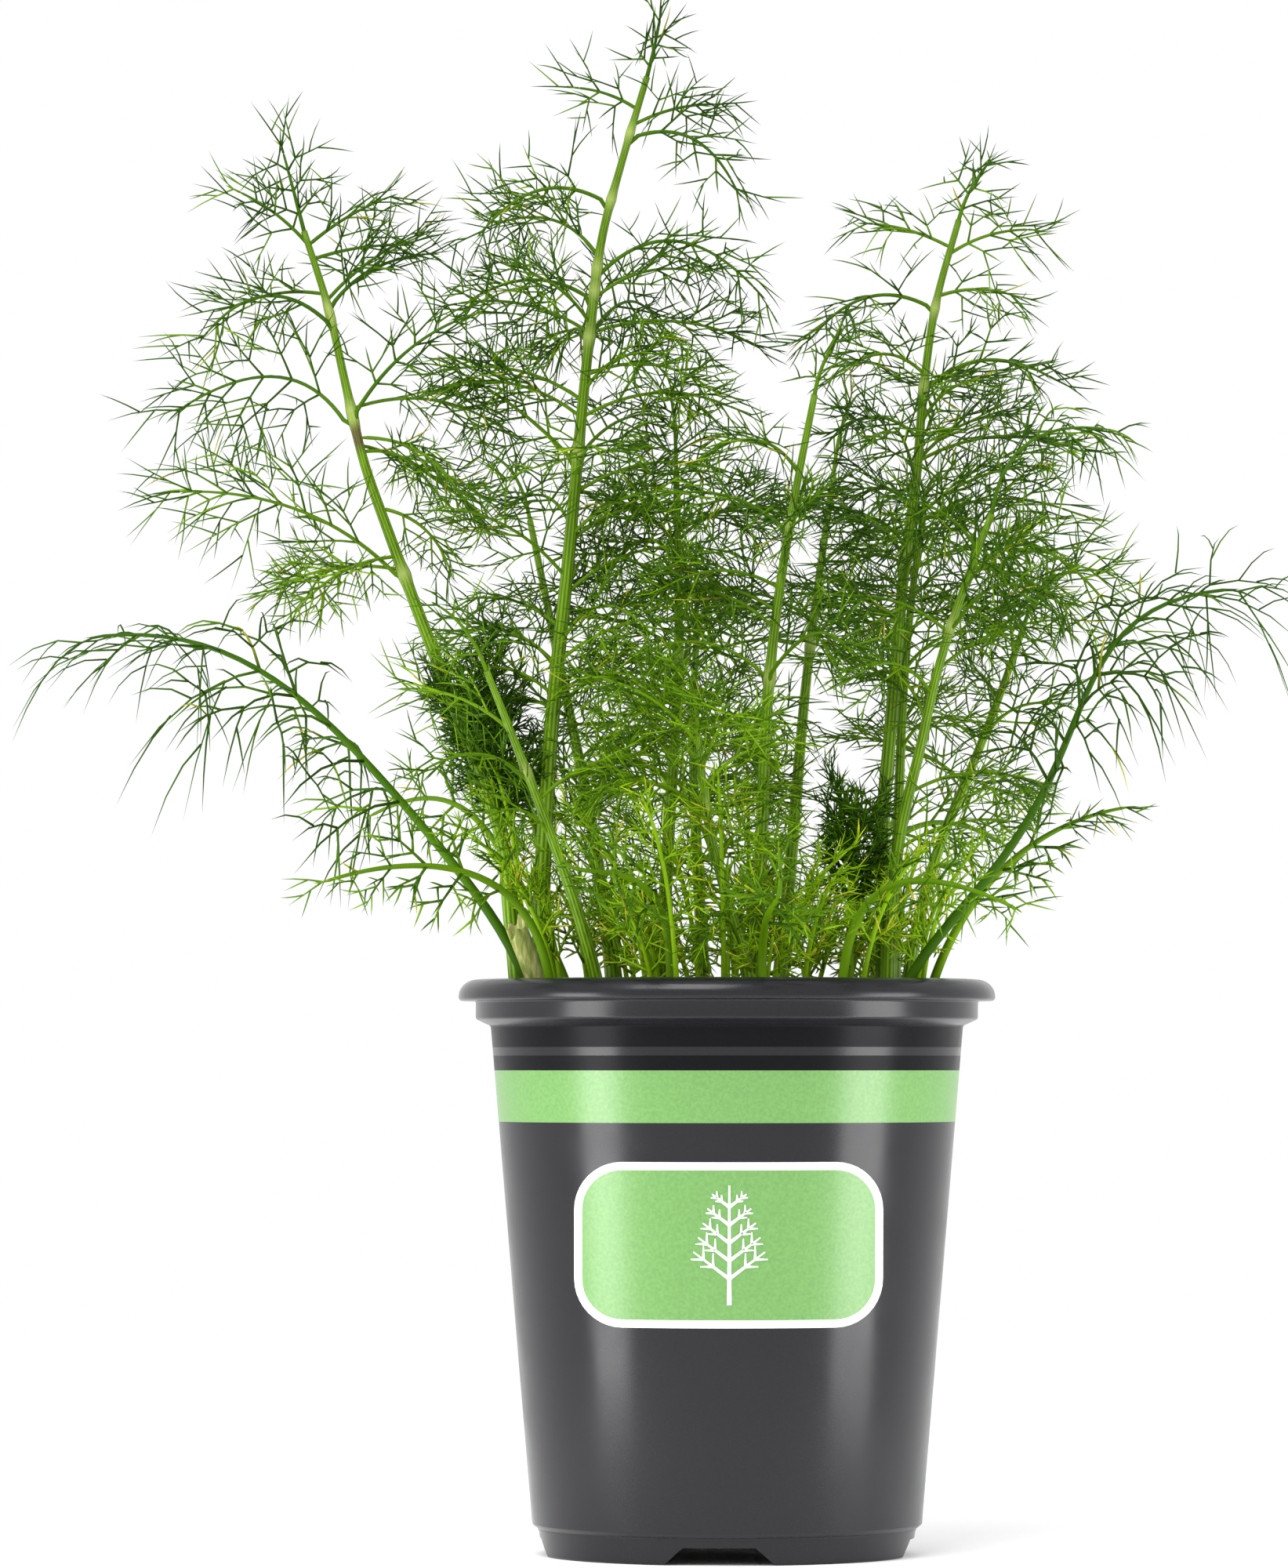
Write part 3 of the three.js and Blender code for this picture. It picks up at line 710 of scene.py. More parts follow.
class DILL_OT_soil(bpy.types.Operator):
    """Fill the pot with rough damp soil, with loose crumbs on top"""

    bl_idname = "dill.soil"
    bl_label = "Soil"

    def execute(self, context):
        sizes = context.scene.dill_soil
        points = cad_points("potting_soil")
        reach = np.hypot(points[:, 0] - AXIS.x, points[:, 1] - AXIS.y)
        low = reach[points[:, 2] < SOIL_LOW.z + 0.2 * MM].max()
        wide = reach.max()
        rim = points[np.argmax(reach)][2]
        profile = [(low, SOIL_LOW.z)]
        for i in range(SOIL_RINGS):
            share = i / SOIL_RINGS
            profile.append((wide * (1 - share), rim + (SOIL_TOP - rim) * share))
        soil = turned("soil_bed", profile, SOIL_SEGMENTS)
        group = soil.vertex_groups.new(name="top")
        top = [v.index for v in soil.data.vertices
               if v.co.z > rim - 1 * MM and math.hypot(v.co.x - AXIS.x, v.co.y - AXIS.y) < wide * 0.985]
        group.add(top, 1.0, "REPLACE")
        for name, (size, strength) in SOIL_LUMPS.items():
            texture = bpy.data.textures.new("soil_" + name, "CLOUDS")
            texture.noise_scale = size
            texture.noise_depth = 3
            apply_modifier(
                soil, "DISPLACE", texture=texture, strength=strength, mid_level=0.55,
                direction="Z", vertex_group="top", texture_coords="LOCAL")
        smooth(soil, 40)
        finish_piece(soil, "soil_mix", soil_material(sizes), nodes=["potting_soil"])
        self.crumbs(sizes, soil, wide - 2 * MM)
        return {"FINISHED"}

    def crumbs(self, sizes, soil, soil_radius):
        """Rough lumps of bark and grit, each a small ball pulled out of shape."""
        rng = np.random.default_rng(CRUMB_SEED)
        bpy.ops.object.select_all(action="DESELECT")
        bpy.ops.mesh.primitive_ico_sphere_add(subdivisions=1, radius=1, location=(0, 0, 0))
        ball = bpy.context.active_object
        corners = np.array([v.co for v in ball.data.vertices])
        faces = np.array([list(p.vertices) for p in ball.data.polygons])
        bpy.data.objects.remove(ball)
        all_corners, all_faces, shades = [], [], []
        for i in range(sizes.crumb_count):
            reach = soil_radius * math.sqrt(rng.uniform())
            angle = rng.uniform(0, 2 * math.pi)
            above = AXIS + Vector((reach * math.cos(angle), reach * math.sin(angle), POT_TOP))
            hit, place, _, _ = soil.ray_cast(above, Vector((0, 0, -1)))
            if not hit:
                raise RuntimeError("a crumb has no soil under it")
            size = sizes.crumb_size * rng.uniform(0.2, 0.62)
            shape = corners * rng.uniform(0.6, 1.25, corners.shape) * size
            shape = shape * np.array([1, rng.uniform(0.45, 1), rng.uniform(0.4, 0.8)])
            turn = rng.uniform(0, 2 * math.pi)
            spin = np.array([
                [math.cos(turn), -math.sin(turn), 0], [math.sin(turn), math.cos(turn), 0], [0, 0, 1]])
            all_faces.append(faces + i * len(corners))
            all_corners.append(shape @ spin.T + np.array(place) + [0, 0, size * 0.2])
            shades += [rng.uniform()] * len(corners)
        crumbs = add_mesh(
            "soil_crumbs", np.concatenate(all_corners), np.concatenate(all_faces).tolist(), shade=shades)
        finish_piece(crumbs, "soil_mix", crumb_material(sizes))


# ---------------------------------------------------------------- lines recovered from the frame


STEM_POINTS = 120


def unit(vector):
    return vector / np.linalg.norm(vector, axis=-1, keepdims=True)


def foot_of(points):
    """The middle of the lowest corners."""
    return points[points[:, 2] < points[:, 2].min() + 1 * MM].mean(0)


def tube_line(node):
    """Centres and radii of the rings of a stalk, from its foot up."""
    points = cad_points(node)
    reach = np.linalg.norm(points - foot_of(points), axis=1)
    order = np.argsort(reach)
    breaks = np.flatnonzero(np.diff(reach[order]) > 3 * MM) + 1
    rings = [points[part] for part in np.split(order, breaks)]
    centres = np.array([ring.mean(0) for ring in rings])
    radii = np.array([np.linalg.norm(ring - ring.mean(0), axis=1).mean() for ring in rings])
    return centres, radii


def smooth_line(points, count):
    """A curve through the points, evenly spaced, as Catmull-Rom does it."""
    padded = np.vstack([2 * points[0] - points[1], points, 2 * points[-1] - points[-2]])
    fine = []
    for i in range(1, len(padded) - 2):
        a, b, c, d = padded[i - 1:i + 3]
        for t in np.linspace(0, 1, 12, endpoint=False):
            fine.append(0.5 * (
                2 * b + (c - a) * t + (2 * a - 5 * b + 4 * c - d) * t * t + (3 * b - a - 3 * c + d) * t ** 3))
    fine.append(points[-1])
    return evenly(np.array(fine), count)


def evenly(line, count):
    """The same line with evenly spaced points."""
    steps = np.linalg.norm(np.diff(line, axis=0), axis=1)
    along = np.concatenate([[0], np.cumsum(steps)])
    wanted = np.linspace(0, along[-1], count)
    return np.array([np.interp(wanted, along, line[:, k]) for k in range(3)]).T


def stem_line(stem):
    """A stem's middle line, from its foot to its crown."""
    return smooth_line(tube_line(stem)[0], STEM_POINTS)


def line_length(line):
    return np.linalg.norm(np.diff(line, axis=0), axis=1).sum()


def leaf_line(node, foot, power, count=24):
    """A leaf's middle line from its foot, and the direction across it, from its CAD comb."""
    away = cad_points(node) - foot
    share = np.linalg.norm(away, axis=1)
    share = share / share.max()
    powers = range(1, power + 1)
    terms = np.array([share ** k for k in powers]).T
    weights, *_ = np.linalg.lstsq(terms, away, rcond=None)
    side = np.linalg.svd(away - terms @ weights, full_matrices=False)[2][0]
    wanted = np.linspace(0, 1, 60)
    line = foot + np.array([wanted ** k for k in powers]).T @ weights
    return evenly(line, count), side


def bent_line(start, bend, tip, count):
    """A line from start to tip that bends towards a third point."""
    share = np.linspace(0, 1, count)[:, None]
    return start * (1 - share) ** 2 + 2 * bend * share * (1 - share) + tip * share ** 2


def direction(heading, slope):
    heading, slope = math.radians(heading), math.radians(slope)
    level = math.cos(slope)
    return np.array([level * math.cos(heading), level * math.sin(heading), math.sin(slope)])


def arching_line(start, heading, rise, droop, length, count=16):
    """A line that leaves at one slope and ends at another."""
    bend = start + direction(heading, rise) * length / 2
    return bent_line(start, bend, bend + direction(heading, droop) * length / 2, count)


# ---------------------------------------------------------------- tubes and threads


def spokes(tangents, helper, angles):
    """Unit vectors around each tangent, one for each angle; the helper is a direction that no tangent
    runs along."""
    across = unit(np.cross(helper, tangents))
    over = np.cross(tangents, across)
    return np.cos(angles)[:, None] * across[..., None, :] + np.sin(angles)[:, None] * over[..., None, :]


def round_angles(sides):
    return 2 * np.pi * np.arange(sides) / sides


def tube_faces(rings, sides):
    """The foot and the sides of a tube whose corners run ring by ring."""
    faces = [tuple(reversed(range(sides)))]
    for i in range(rings - 1):
        for k in range(sides):
            a, b = i * sides + k, i * sides + (k + 1) % sides
            faces.append((a, b, b + sides, a + sides))
    return faces


class Threads:
    """Collects tapering round threads and makes one piece of them."""

    def __init__(self, seed):
        """The seed is a number, or the generator that another collection has drawn from."""
        self.rng = np.random.default_rng(seed)
        self.lines = []

    def add(self, line, radii, shade, sides=4, dry=0.0):
        self.lines.append((np.asarray(line), np.asarray(radii), shade, sides, dry))

    def piece(self, name, material, *nodes):
        corners, faces, shades, alongs, drys = [], [], [], [], []
        groups = {}
        for line in self.lines:
            groups.setdefault((len(line[0]), line[3]), []).append(line)
        first = 0
        for (count, sides), group in sorted(groups.items(), key=lambda item: item[0]):
            tips = np.array([line[0][-1] for line in group])[:, None]
            block = np.concatenate([self.rings(group, sides), tips], axis=1)
            per_line = block.shape[1]
            pattern = self.pattern(count, sides)
            for base in range(first, first + len(group) * per_line, per_line):
                faces += [tuple(base + corner for corner in face) for face in pattern]
            corners.append(block.reshape(-1, 3))
            along = np.append(np.repeat(np.arange(count - 1) / (count - 1), sides), 1.0)
            alongs.append(np.tile(along, len(group)))
            shades.append(np.repeat([line[2] for line in group], per_line))
            drys.append(np.repeat([line[4] for line in group], per_line))
            first += len(group) * per_line
        piece = add_mesh(
            name, np.concatenate(corners), faces, shade=np.concatenate(shades),
            along=np.concatenate(alongs), dry=np.concatenate(drys))
        piece.data.shade_smooth()
        finish_piece(piece, "leaf_green", material, nodes=nodes)

    def rings(self, group, sides):
        """Rings of corners around every line of a group, at all but the last of its points."""
        lines = np.array([line[0] for line in group])
        radii = np.array([line[1] for line in group])
        tangents = unit(np.gradient(lines, axis=1))
        helper = np.where(np.abs(tangents[:, :1, 2:]) < 0.9, [[[0, 0, 1.0]]], [[[1.0, 0, 0]]])
        ring = lines[:, :, None] + spokes(tangents, helper, round_angles(sides)) * radii[:, :, None, None]
        return ring[:, :-1].reshape(len(group), -1, 3)

    def pattern(self, count, sides):
        """The faces of one thread: its foot, its sides and its pointed tip."""
        last, tip = (count - 2) * sides, (count - 1) * sides
        point = [(last + k, last + (k + 1) % sides, tip) for k in range(sides)]
        return tube_faces(count - 1, sides) + point


def thread_point(start, way, length, bend, share):
    """The point a share of the way along a thread that bends aside towards its tip."""
    return start + way * (length * share) + bend * (length * share * share)


def thread_line(start, way, length, bend, count=4):
    return thread_point(start, way, length, bend, np.linspace(0, 1, count)[:, None])


def tapering(radius, count, tip=0.45):
    return radius * np.linspace(1, tip, count)


# Where the forks of a thread leave it, how long they are against it, and how often there is a second one.
FORK_SHARES = (0.34, 0.55)
FORK_LENGTHS = (0.55, 0.8)
SECOND_FORK = 0.6
# The angles in degrees of the forks, of the threads on a branch and of the branches on a midrib.
FORK_ANGLES = (30, 46)
THREAD_ANGLES = (36, 56)
BRANCH_ANGLES = (46, 64)
THICKEST_BRANCH = 0.34 * MM


@dataclass
class Frond:
    """Grows one feathery leaf: a midrib, pairs of branches on it, and forked threads on those. It holds
    the width and length of the last threads, the reach of the branches and how many pairs there are, the
    sag of every thread, how much paler than usual it is, and the share of threads that turn yellow."""

    threads: Threads
    width: float
    thread: float
    spread: float
    pairs: int
    sag: float = 0.0
    youth: float = 0.0
    dryness: float = 0.0

    def __post_init__(self):
        self.rng = self.threads.rng

    def shade(self):
        return float(np.clip(self.rng.normal(0.42 + self.youth, 0.22), 0, 1))

    def dry(self):
        return float(self.rng.uniform(0.5, 1)) if self.rng.uniform() < self.dryness else 0.0

    def bend(self, way, amount=0.09):
        """A small random curl, and the sag."""
        curl = self.rng.normal(0, amount, 3)
        curl -= way * (curl @ way)
        return curl - UP * self.sag

    def turn(self, way, aside, over, angle, roll):
        """A direction off the way by an angle, towards aside rolled about the way."""
        flank = aside * math.cos(roll) + over * math.sin(roll)
        return unit(way * math.cos(angle) + flank * math.sin(angle))

    def last_threads(self, start, way, aside, over, length, radius):
        """A thread that forks once or twice."""
        bend = self.bend(way)
        self.threads.add(
            thread_line(start, way, length, bend), tapering(radius, 4), self.shade(), dry=self.dry())
        side = self.rng.choice([-1, 1])
        for share in FORK_SHARES[: 1 + (self.rng.uniform() < SECOND_FORK)]:
            place = thread_point(start, way, length, bend, share)
            angle = math.radians(self.rng.uniform(*FORK_ANGLES))
            fork = self.turn(way, aside * side, over, angle, self.rng.uniform(-1.2, 1.2))
            self.threads.add(
                thread_line(place, fork, length * self.rng.uniform(*FORK_LENGTHS), self.bend(fork)),
                tapering(radius * 0.9, 4), self.shade(), dry=self.dry())
            side = -side

    def branch(self, start, way, over, length, radius):
        """A side branch with pairs of forked threads."""
        aside = unit(np.cross(over, way))
        over = np.cross(way, aside)
        bend = self.bend(way, 0.06)
        self.threads.add(
            thread_line(start, way, length, bend, 5), tapering(radius, 5, 0.5), self.shade(), 5,
            self.dry())
        pairs = max(1, round(length / (0.62 * self.thread)))
        for i in range(pairs):
            share = 0.28 + 0.62 * (i + self.rng.uniform(0, 0.35)) / pairs
            place = thread_point(start, way, length, bend, share)
            onward = unit(way + 2 * share * bend)
            reach = self.thread * (1 - 0.3 * i / pairs) * self.rng.uniform(0.82, 1.12)
            tilt = self.rng.uniform(-0.9, 0.9)
            for side in (-1, 1):
                angle = math.radians(self.rng.uniform(*THREAD_ANGLES))
                fork = self.turn(onward, aside * side, over, angle, tilt + self.rng.uniform(-0.35, 0.35))
                self.last_threads(place, fork, aside, over, reach, radius * 0.78)

    def grow(self, line, side, bare, radius, tip_radius, tail=None, roll=0.0):
        """The whole leaf along its middle line, turned about it by roll and without branches on its bare
        share; the tail is the stretch before the line, on its stem."""
        count = len(line)
        rib = line if tail is None else np.vstack([tail, line])
        radii = np.concatenate([
            np.full(len(rib) - count, radius), np.linspace(radius, tip_radius, count)])
        self.threads.add(rib, radii, 0.55 + self.youth, 8)
        for i in range(self.pairs):
            along = i / self.pairs
            place, way = self.at(line, bare + (0.985 - bare) * along ** 0.92)
            aside, over = self.across(way, side, roll)
            envelope = min(1, 0.8 + 1.2 * along) * (1 - along) ** 0.55
            for hand in (-1, 1):
                angle = math.radians(self.rng.uniform(*BRANCH_ANGLES) - 12 * along)
                outward = self.turn(way, aside * hand, over, angle, self.rng.uniform(-0.55, 0.75))
                reach = self.spread * envelope * self.rng.uniform(0.85, 1.1)
                thick = min(max(self.width / 2, radius * 0.55 * (1 - along)), THICKEST_BRANCH)
                self.branch(place, outward, over, reach, thick)
        place, way = self.at(line, 0.97)
        _, over = self.across(way, side, roll)
        self.branch(place, way, over, self.spread * 0.3, self.width / 2)

    def across(self, way, side, roll):
        """The directions across a leaf and out of it where its midrib runs along way."""
        over = unit(np.cross(side, way))
        turned_aside = np.cross(way, over) * math.cos(roll) + over * math.sin(roll)
        return turned_aside, np.cross(turned_aside, way)

    def at(self, line, share):
        """The point and the direction a share of the way along a line."""
        spot = share * (len(line) - 1)
        i = min(int(spot), len(line) - 2)
        way = unit(line[i + 1] - line[i])
        return line[i] + (line[i + 1] - line[i]) * (spot - i), way


# ---------------------------------------------------------------- stems


RIB_DEPTH = 0.035
JOINT_SWELL = 0.32
JOINT_LENGTH = 1.7 * MM
FOOT_SWELL = 0.18
FOOT_FADE = 5 * MM
STEM_SIDES = 40
STEM_STEP = 2.2 * MM
BLUSH_STEM = "stem_1"
BLUSH_HEIGHT = 215 * MM
BLUSH_LENGTH = 1.6 * MM
STUB_SIDES = 28
STUB_POINTS = 14
STUB_TEAR = 1.4 * MM
STUB_SEED = 5


def leaf_names(stem):
    """The CAD leaves on a stem, but not its crown leaf."""
    return sorted(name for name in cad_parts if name.startswith(stem + "_leaf_"))


def nearest_on(line, points):
    """The place on a line that is nearest to any of the points, as (index, the nearest point)."""
    gaps = np.linalg.norm(line[:, None] - points[None], axis=2)
    index, corner = np.unravel_index(np.argmin(gaps), gaps.shape)
    return index, points[corner]


class DILL_OT_stems(bpy.types.Operator):
    """Grow the ribbed stems, swollen at each leaf joint, and the stub of a cut stalk"""

    bl_idname = "dill.stems"
    bl_label = "Stems"

    def execute(self, context):
        sizes = context.scene.dill_plant
        material = stem_material(sizes)
        for stem in STEMS:
            self.stem(stem, sizes, material)
        self.stub()
        return {"FINISHED"}

    def stem(self, node, sizes, material):
        centres, radii = tube_line(node)
        length = line_length(centres)
        count = int(length / STEM_STEP)
        line = smooth_line(centres, count)
        thickness = np.interp(np.linspace(0, 1, count), np.linspace(0, 1, len(radii)), radii)
        along = np.linspace(0, length, count)
        joint = np.zeros(count)
        for leaf in leaf_names(node):
            place = along[nearest_on(line, cad_points(leaf))[0]]
            joint += np.exp(-((along - place) / JOINT_LENGTH) ** 2)
        joint = np.clip(joint, 0, 1)
        foot = np.exp(-np.clip(line[:, 2] - SOIL_TOP, 0, None) / FOOT_FADE)
        thickness = thickness * (1 + JOINT_SWELL * joint + FOOT_SWELL * foot)
        angles = round_angles(STEM_SIDES)
        rib = np.cos(angles * sizes.stem_ribs)
        scale = thickness[:, None] * (1 + RIB_DEPTH * rib)
        ring = spokes(unit(np.gradient(line, axis=0)), [0, 1.0, 0], angles) * scale[:, :, None]
        height = np.clip((line[:, 2] - SOIL_TOP) / (PLANT_TOP - SOIL_TOP), 0, 1)
        blush = np.exp(-((line[:, 2] - BLUSH_HEIGHT) / BLUSH_LENGTH) ** 2) * (node == BLUSH_STEM)
        top = tuple((count - 1) * STEM_SIDES + k for k in range(STEM_SIDES))
        piece = add_mesh(
            node + "_stalk", (line[:, None] + ring).reshape(-1, 3), tube_faces(count, STEM_SIDES) + [top],
            rib=np.tile((rib + 1) / 2, count), joint=np.repeat(joint, STEM_SIDES),
            height=np.repeat(height, STEM_SIDES), blush=np.repeat(blush, STEM_SIDES))
        piece.data.shade_smooth()
        finish_piece(piece, "stem_green", material, nodes=[node])

    def stub(self):
        """A short fibrous stalk with a torn, hollow end."""
        centres, radii = tube_line("cut_stub")
        line = smooth_line(centres, STUB_POINTS)
        angles = round_angles(STUB_SIDES)
        ragged = np.random.default_rng(STUB_SEED).normal(0, 0.25, STUB_SIDES)
        torn = STUB_TEAR * (np.sin(angles + 0.6) + 0.5 * np.sin(3 * angles) + ragged)
        way = unit(line[-1] - line[-2])
        ring = spokes(way, [0, 1.0, 0], angles) * radii.mean()
        rings = []
        for i, centre in enumerate(line):
            fibres = 1 + 0.05 * np.cos(9 * angles) + 0.1 * np.exp(-i / 3)
            rings.append(centre + ring * fibres[:, None])
        rings[-1] = rings[-1] + torn[:, None] * way
        inner = line[-1] + (rings[-1] - line[-1]) * 0.8 - way * 0.3 * MM
        bottom = line[-1] + (rings[-2] - line[-2]) * 0.45 - way * 2.0 * MM
        rings += [inner, bottom]
        faces = tube_faces(len(rings), STUB_SIDES)
        faces.append(tuple((len(rings) - 1) * STUB_SIDES + k for k in range(STUB_SIDES)))
        stub = add_mesh("torn_stub", np.vstack(rings), faces)
        stub.data.shade_smooth()
        finish_piece(stub, "cut_stalk", cut_material(), nodes=["cut_stub"])


# ---------------------------------------------------------------- leaves on the stems


# The length of a leaf whose size is 1, its midrib's radius at its foot and at its tip, and the share of it
# that has no branches.
USUAL_LEAF = 40 * MM
LEAF_MIDRIB = (0.42 * MM, 0.22 * MM)
LEAF_BARE = 0.2
# The points at the end of a leaf's middle line that are left to its last threads.
LEAF_END = 3
CROWN_END = 7
# How far a leaf's branches reach, against the usual reach.
LEAF_CROWDING = {
    "stem_1_leaf_3": 0.5, "stem_1_leaf_4": 0.65, "stem_1_leaf_5": 0.65, "stem_2_leaf_3": 0.7,
    "stem_2_leaf_4": 0.6, "stem_2_leaf_5": 0.5, "stem_5_crown_leaf": 0.45, "stem_6_leaf_1": 0.6,
    "stem_6_leaf_3": 0.45, "stem_9_crown_leaf": 0.75, "stem_10_leaf_1": 0.5,
    "stem_10_crown_leaf": 0.6, "stem_11_crown_leaf": 0.4, "stem_13_leaf_1": 0.6,
    "stem_13_crown_leaf": 0.7,
}
# The leaves with longer last threads, by the start of their names.
LOOSE_LEAVES = (
    "stem_1_", "stem_2_leaf_5", "stem_2_leaf_6", "stem_2_crown", "stem_6_leaf_3", "stem_6_crown")
LOOSENESS = 1.3
LEAF_SAG = {"stem_1_leaf_1": 0.12, "stem_1_leaf_2": 0.1, "stem_8_crown_leaf": 0.3}


def stem_tail(line, index, back=5 * MM):
    """Points up the inside of a stem that a leaf stalk starts from."""
    step = np.linalg.norm(line[1] - line[0])
    low = max(0, index - max(1, int(back / step)))
    return np.array([line[low], (line[low] + line[index]) / 2])


class DILL_OT_stem_leaves(bpy.types.Operator):
    """Grow a feathery leaf at each joint of the stems, and one at each stem's crown"""

    bl_idname = "dill.stem_leaves"
    bl_label = "Stem leaves"

    def execute(self, context):
        sizes = context.scene.dill_plant
        material = leaf_material("leaf_green", sizes, 0.0)
        for number, stem in enumerate(STEMS, start=1):
            line = stem_line(stem)
            for order, leaf in enumerate(leaf_names(stem) + [stem + "_crown_leaf"]):
                self.leaf(leaf, line, sizes, material, sizes.seed + number * 20 + order)
        return {"FINISHED"}

    def leaf(self, node, stem, sizes, material, seed):
        crown = node.endswith("crown_leaf")
        index, foot = nearest_on(stem, cad_points(node))
        if crown:
            index, foot = len(stem) - 1, stem[-1]
        line, side = leaf_line(node, foot, 2)
        line = line[:-CROWN_END] if crown else line[:-LEAF_END]
        size = min(line_length(line) / USUAL_LEAF, 1.25)
        loose = LOOSENESS if node.startswith(LOOSE_LEAVES) else 1
        threads = Threads(seed)
        frond = Frond(
            threads, sizes.thread_width, sizes.thread_length * min(1, 0.5 + 0.5 * size) * loose,
            sizes.leaf_spread * min(1, size ** 0.75) * LEAF_CROWDING.get(node, 1.0),
            max(3, round(6 * size)), sag=LEAF_SAG.get(node, 0.03), dryness=0.015)
        roll = threads.rng.uniform(0.35, 1.0) * threads.rng.choice([-1, 1])
        frond.grow(line, side, LEAF_BARE, *LEAF_MIDRIB, stem_tail(stem, index), roll)
        threads.piece(node + "_frond", material, node)


# Stem: the shares of its height where its spiral of side leaves starts and ends, how many there are, and
# the heading of the first, in degrees.
SIDE_LEAVES = {
    2: (0.36, 0.84, 15, 30),
    3: (0.30, 0.98, 12, 80),
    4: (0.35, 0.98, 8, 250),
    5: (0.66, 0.94, 4, 160),
    6: (0.50, 0.84, 13, 20),
    7: (0.58, 0.98, 8, 300),
    8: (0.60, 0.98, 7, 100),
    9: (0.50, 0.98, 5, 60),
    10: (0.35, 0.70, 4, 120),
    11: (0.68, 0.92, 2, 200),
    12: (0.45, 0.98, 6, 10),
    13: (0.50, 0.98, 3, 220),
}
# Side leaves that stand apart from that spiral: the share of the stem's height, the heading, the slope at
# the foot and at the tip, and the length in millimetres.
LONE_LEAVES = {
    1: ((0.79, 5, 20, -35, 34), (0.76, -25, 0, -65, 34), (0.75, 25, -10, -45, 30),
        (0.60, 178, 12, -30, 28), (0.62, 215, -5, -45, 26), (0.74, 10, 10, -60, 18),
        (0.68, 0, -10, -70, 20), (0.93, 185, 10, -25, 17), (0.92, 5, 50, 25, 21),
        (0.99, 175, 50, 25, 18), (0.99, -10, 40, 20, 18), (0.97, 10, 20, 0, 18)),
    2: ((0.42, -20, 40, -10, 32), (0.48, 5, 45, -10, 34), (0.54, -35, 40, -15, 34),
        (0.58, 10, 35, -20, 36), (0.66, -10, 30, -25, 34), (0.70, -25, 20, -35, 30),
        (0.74, 8, 20, -25, 34), (0.68, 190, 35, -15, 32), (0.74, 170, 35, -10, 30),
        (0.38, 195, 45, -5, 18), (0.45, 170, 45, 0, 18), (0.95, 10, 30, 0, 18), (0.97, 175, 35, 5, 13)),
    3: ((0.45, -15, 40, -10, 26), (0.55, 5, 40, -15, 28), (0.90, 10, 35, -15, 26),
        (0.55, 170, 30, -20, 30), (0.62, 215, 35, -25, 30), (0.70, 150, 40, -10, 30),
        (0.80, 190, 45, -10, 26), (0.88, 215, 50, 0, 22)),
    4: ((0.80, 160, 45, 0, 28), (0.90, -70, 50, 0, 26), (0.97, 200, 55, 10, 26)),
    5: ((0.50, 185, 40, -20, 32), (0.58, 200, 45, -20, 30), (0.66, 170, 45, -10, 28),
        (0.72, 195, 30, -30, 26)),
    6: ((0.58, 15, 35, -15, 34), (0.64, -10, 30, -20, 34), (0.72, 5, 30, -20, 34),
        (0.97, 170, 30, 5, 17), (0.96, 10, 35, 0, 18), (0.91, 0, 20, -15, 14)),
    8: ((0.40, -20, 35, -10, 26), (0.50, 15, 30, -20, 28), (0.97, 20, -5, -55, 34),
        (0.90, -30, 0, -50, 26)),
}
GOLDEN_TURN = 137.5
# The same for a side leaf, and the share of the stem's height above which its last threads are longer.
USUAL_SIDE_LEAF = 26 * MM
SIDE_MIDRIB = (0.38 * MM, 0.22 * MM)
SIDE_BARE = 0.25
LOOSE_ABOVE = 0.85
SIDE_LOOSENESS = 1.25


class DILL_OT_side_leaves(bpy.types.Operator):
    """Grow the smaller leaves that crowd along each stem between its main leaves"""

    bl_idname = "dill.side_leaves"
    bl_label = "Side leaves"

    def execute(self, context):
        sizes = context.scene.dill_plant
        material = leaf_material("side_leaf_green", sizes, 0.05)
        for number, stem in enumerate(STEMS, start=1):
            line = stem_line(stem)
            threads = Threads(sizes.seed + 300 + number)
            leaves = list(LONE_LEAVES.get(number, ())) + self.spiral(threads.rng, number)
            for share, heading, rise, droop, length in leaves:
                index = int(share * (len(line) - 1))
                leaf = arching_line(line[index], heading, rise, droop, length * MM)
                size = min(1, length * MM / USUAL_SIDE_LEAF)
                loose = SIDE_LOOSENESS if share > LOOSE_ABOVE else 1
                frond = Frond(
                    threads, sizes.thread_width * 0.92, sizes.thread_length * 0.8 * loose,
                    sizes.leaf_spread * 0.75 * size, round(5 * size), sag=0.04, youth=0.04, dryness=0.02)
                frond.grow(
                    leaf, np.cross(direction(heading, 0), UP), SIDE_BARE, *SIDE_MIDRIB,
                    stem_tail(line, index), threads.rng.uniform(-1, 1))
            threads.piece(stem + "_side_leaves", material)
        return {"FINISHED"}

    def spiral(self, rng, number):
        """Leaves that wind up a stem, shorter towards its top."""
        leaves = []
        first, last, total, heading = SIDE_LEAVES.get(number, (0, 0, 0, 0))
        for i in range(total):
            share = first + (last - first) * (i + rng.uniform(0, 0.6)) / total
            way = heading + GOLDEN_TURN * i + rng.uniform(-15, 15)
            length = rng.uniform(24, 36) * (1.15 - 0.5 * share)
            leaves.append((share, way, rng.uniform(35, 60), rng.uniform(-40, 5), length))
        return leaves


# ---------------------------------------------------------------- leaves from the soil


# The long basal leaves by number, and all the others: where their branches start, how wide they spread,
# how far they sag, and how long their last threads are, against the usual ones.
LONG_LEAVES = {1: (0.46, 1.5, 0.48, 1.75), 2: (0.54, 1.3, 0.4, 1.75)}
SHORT_LEAVES = (0.5, 0.6, 0.05, 0.75)
# The points at the end of a long leaf's middle line that are left to its last threads.
LONG_LEAF_END = 4
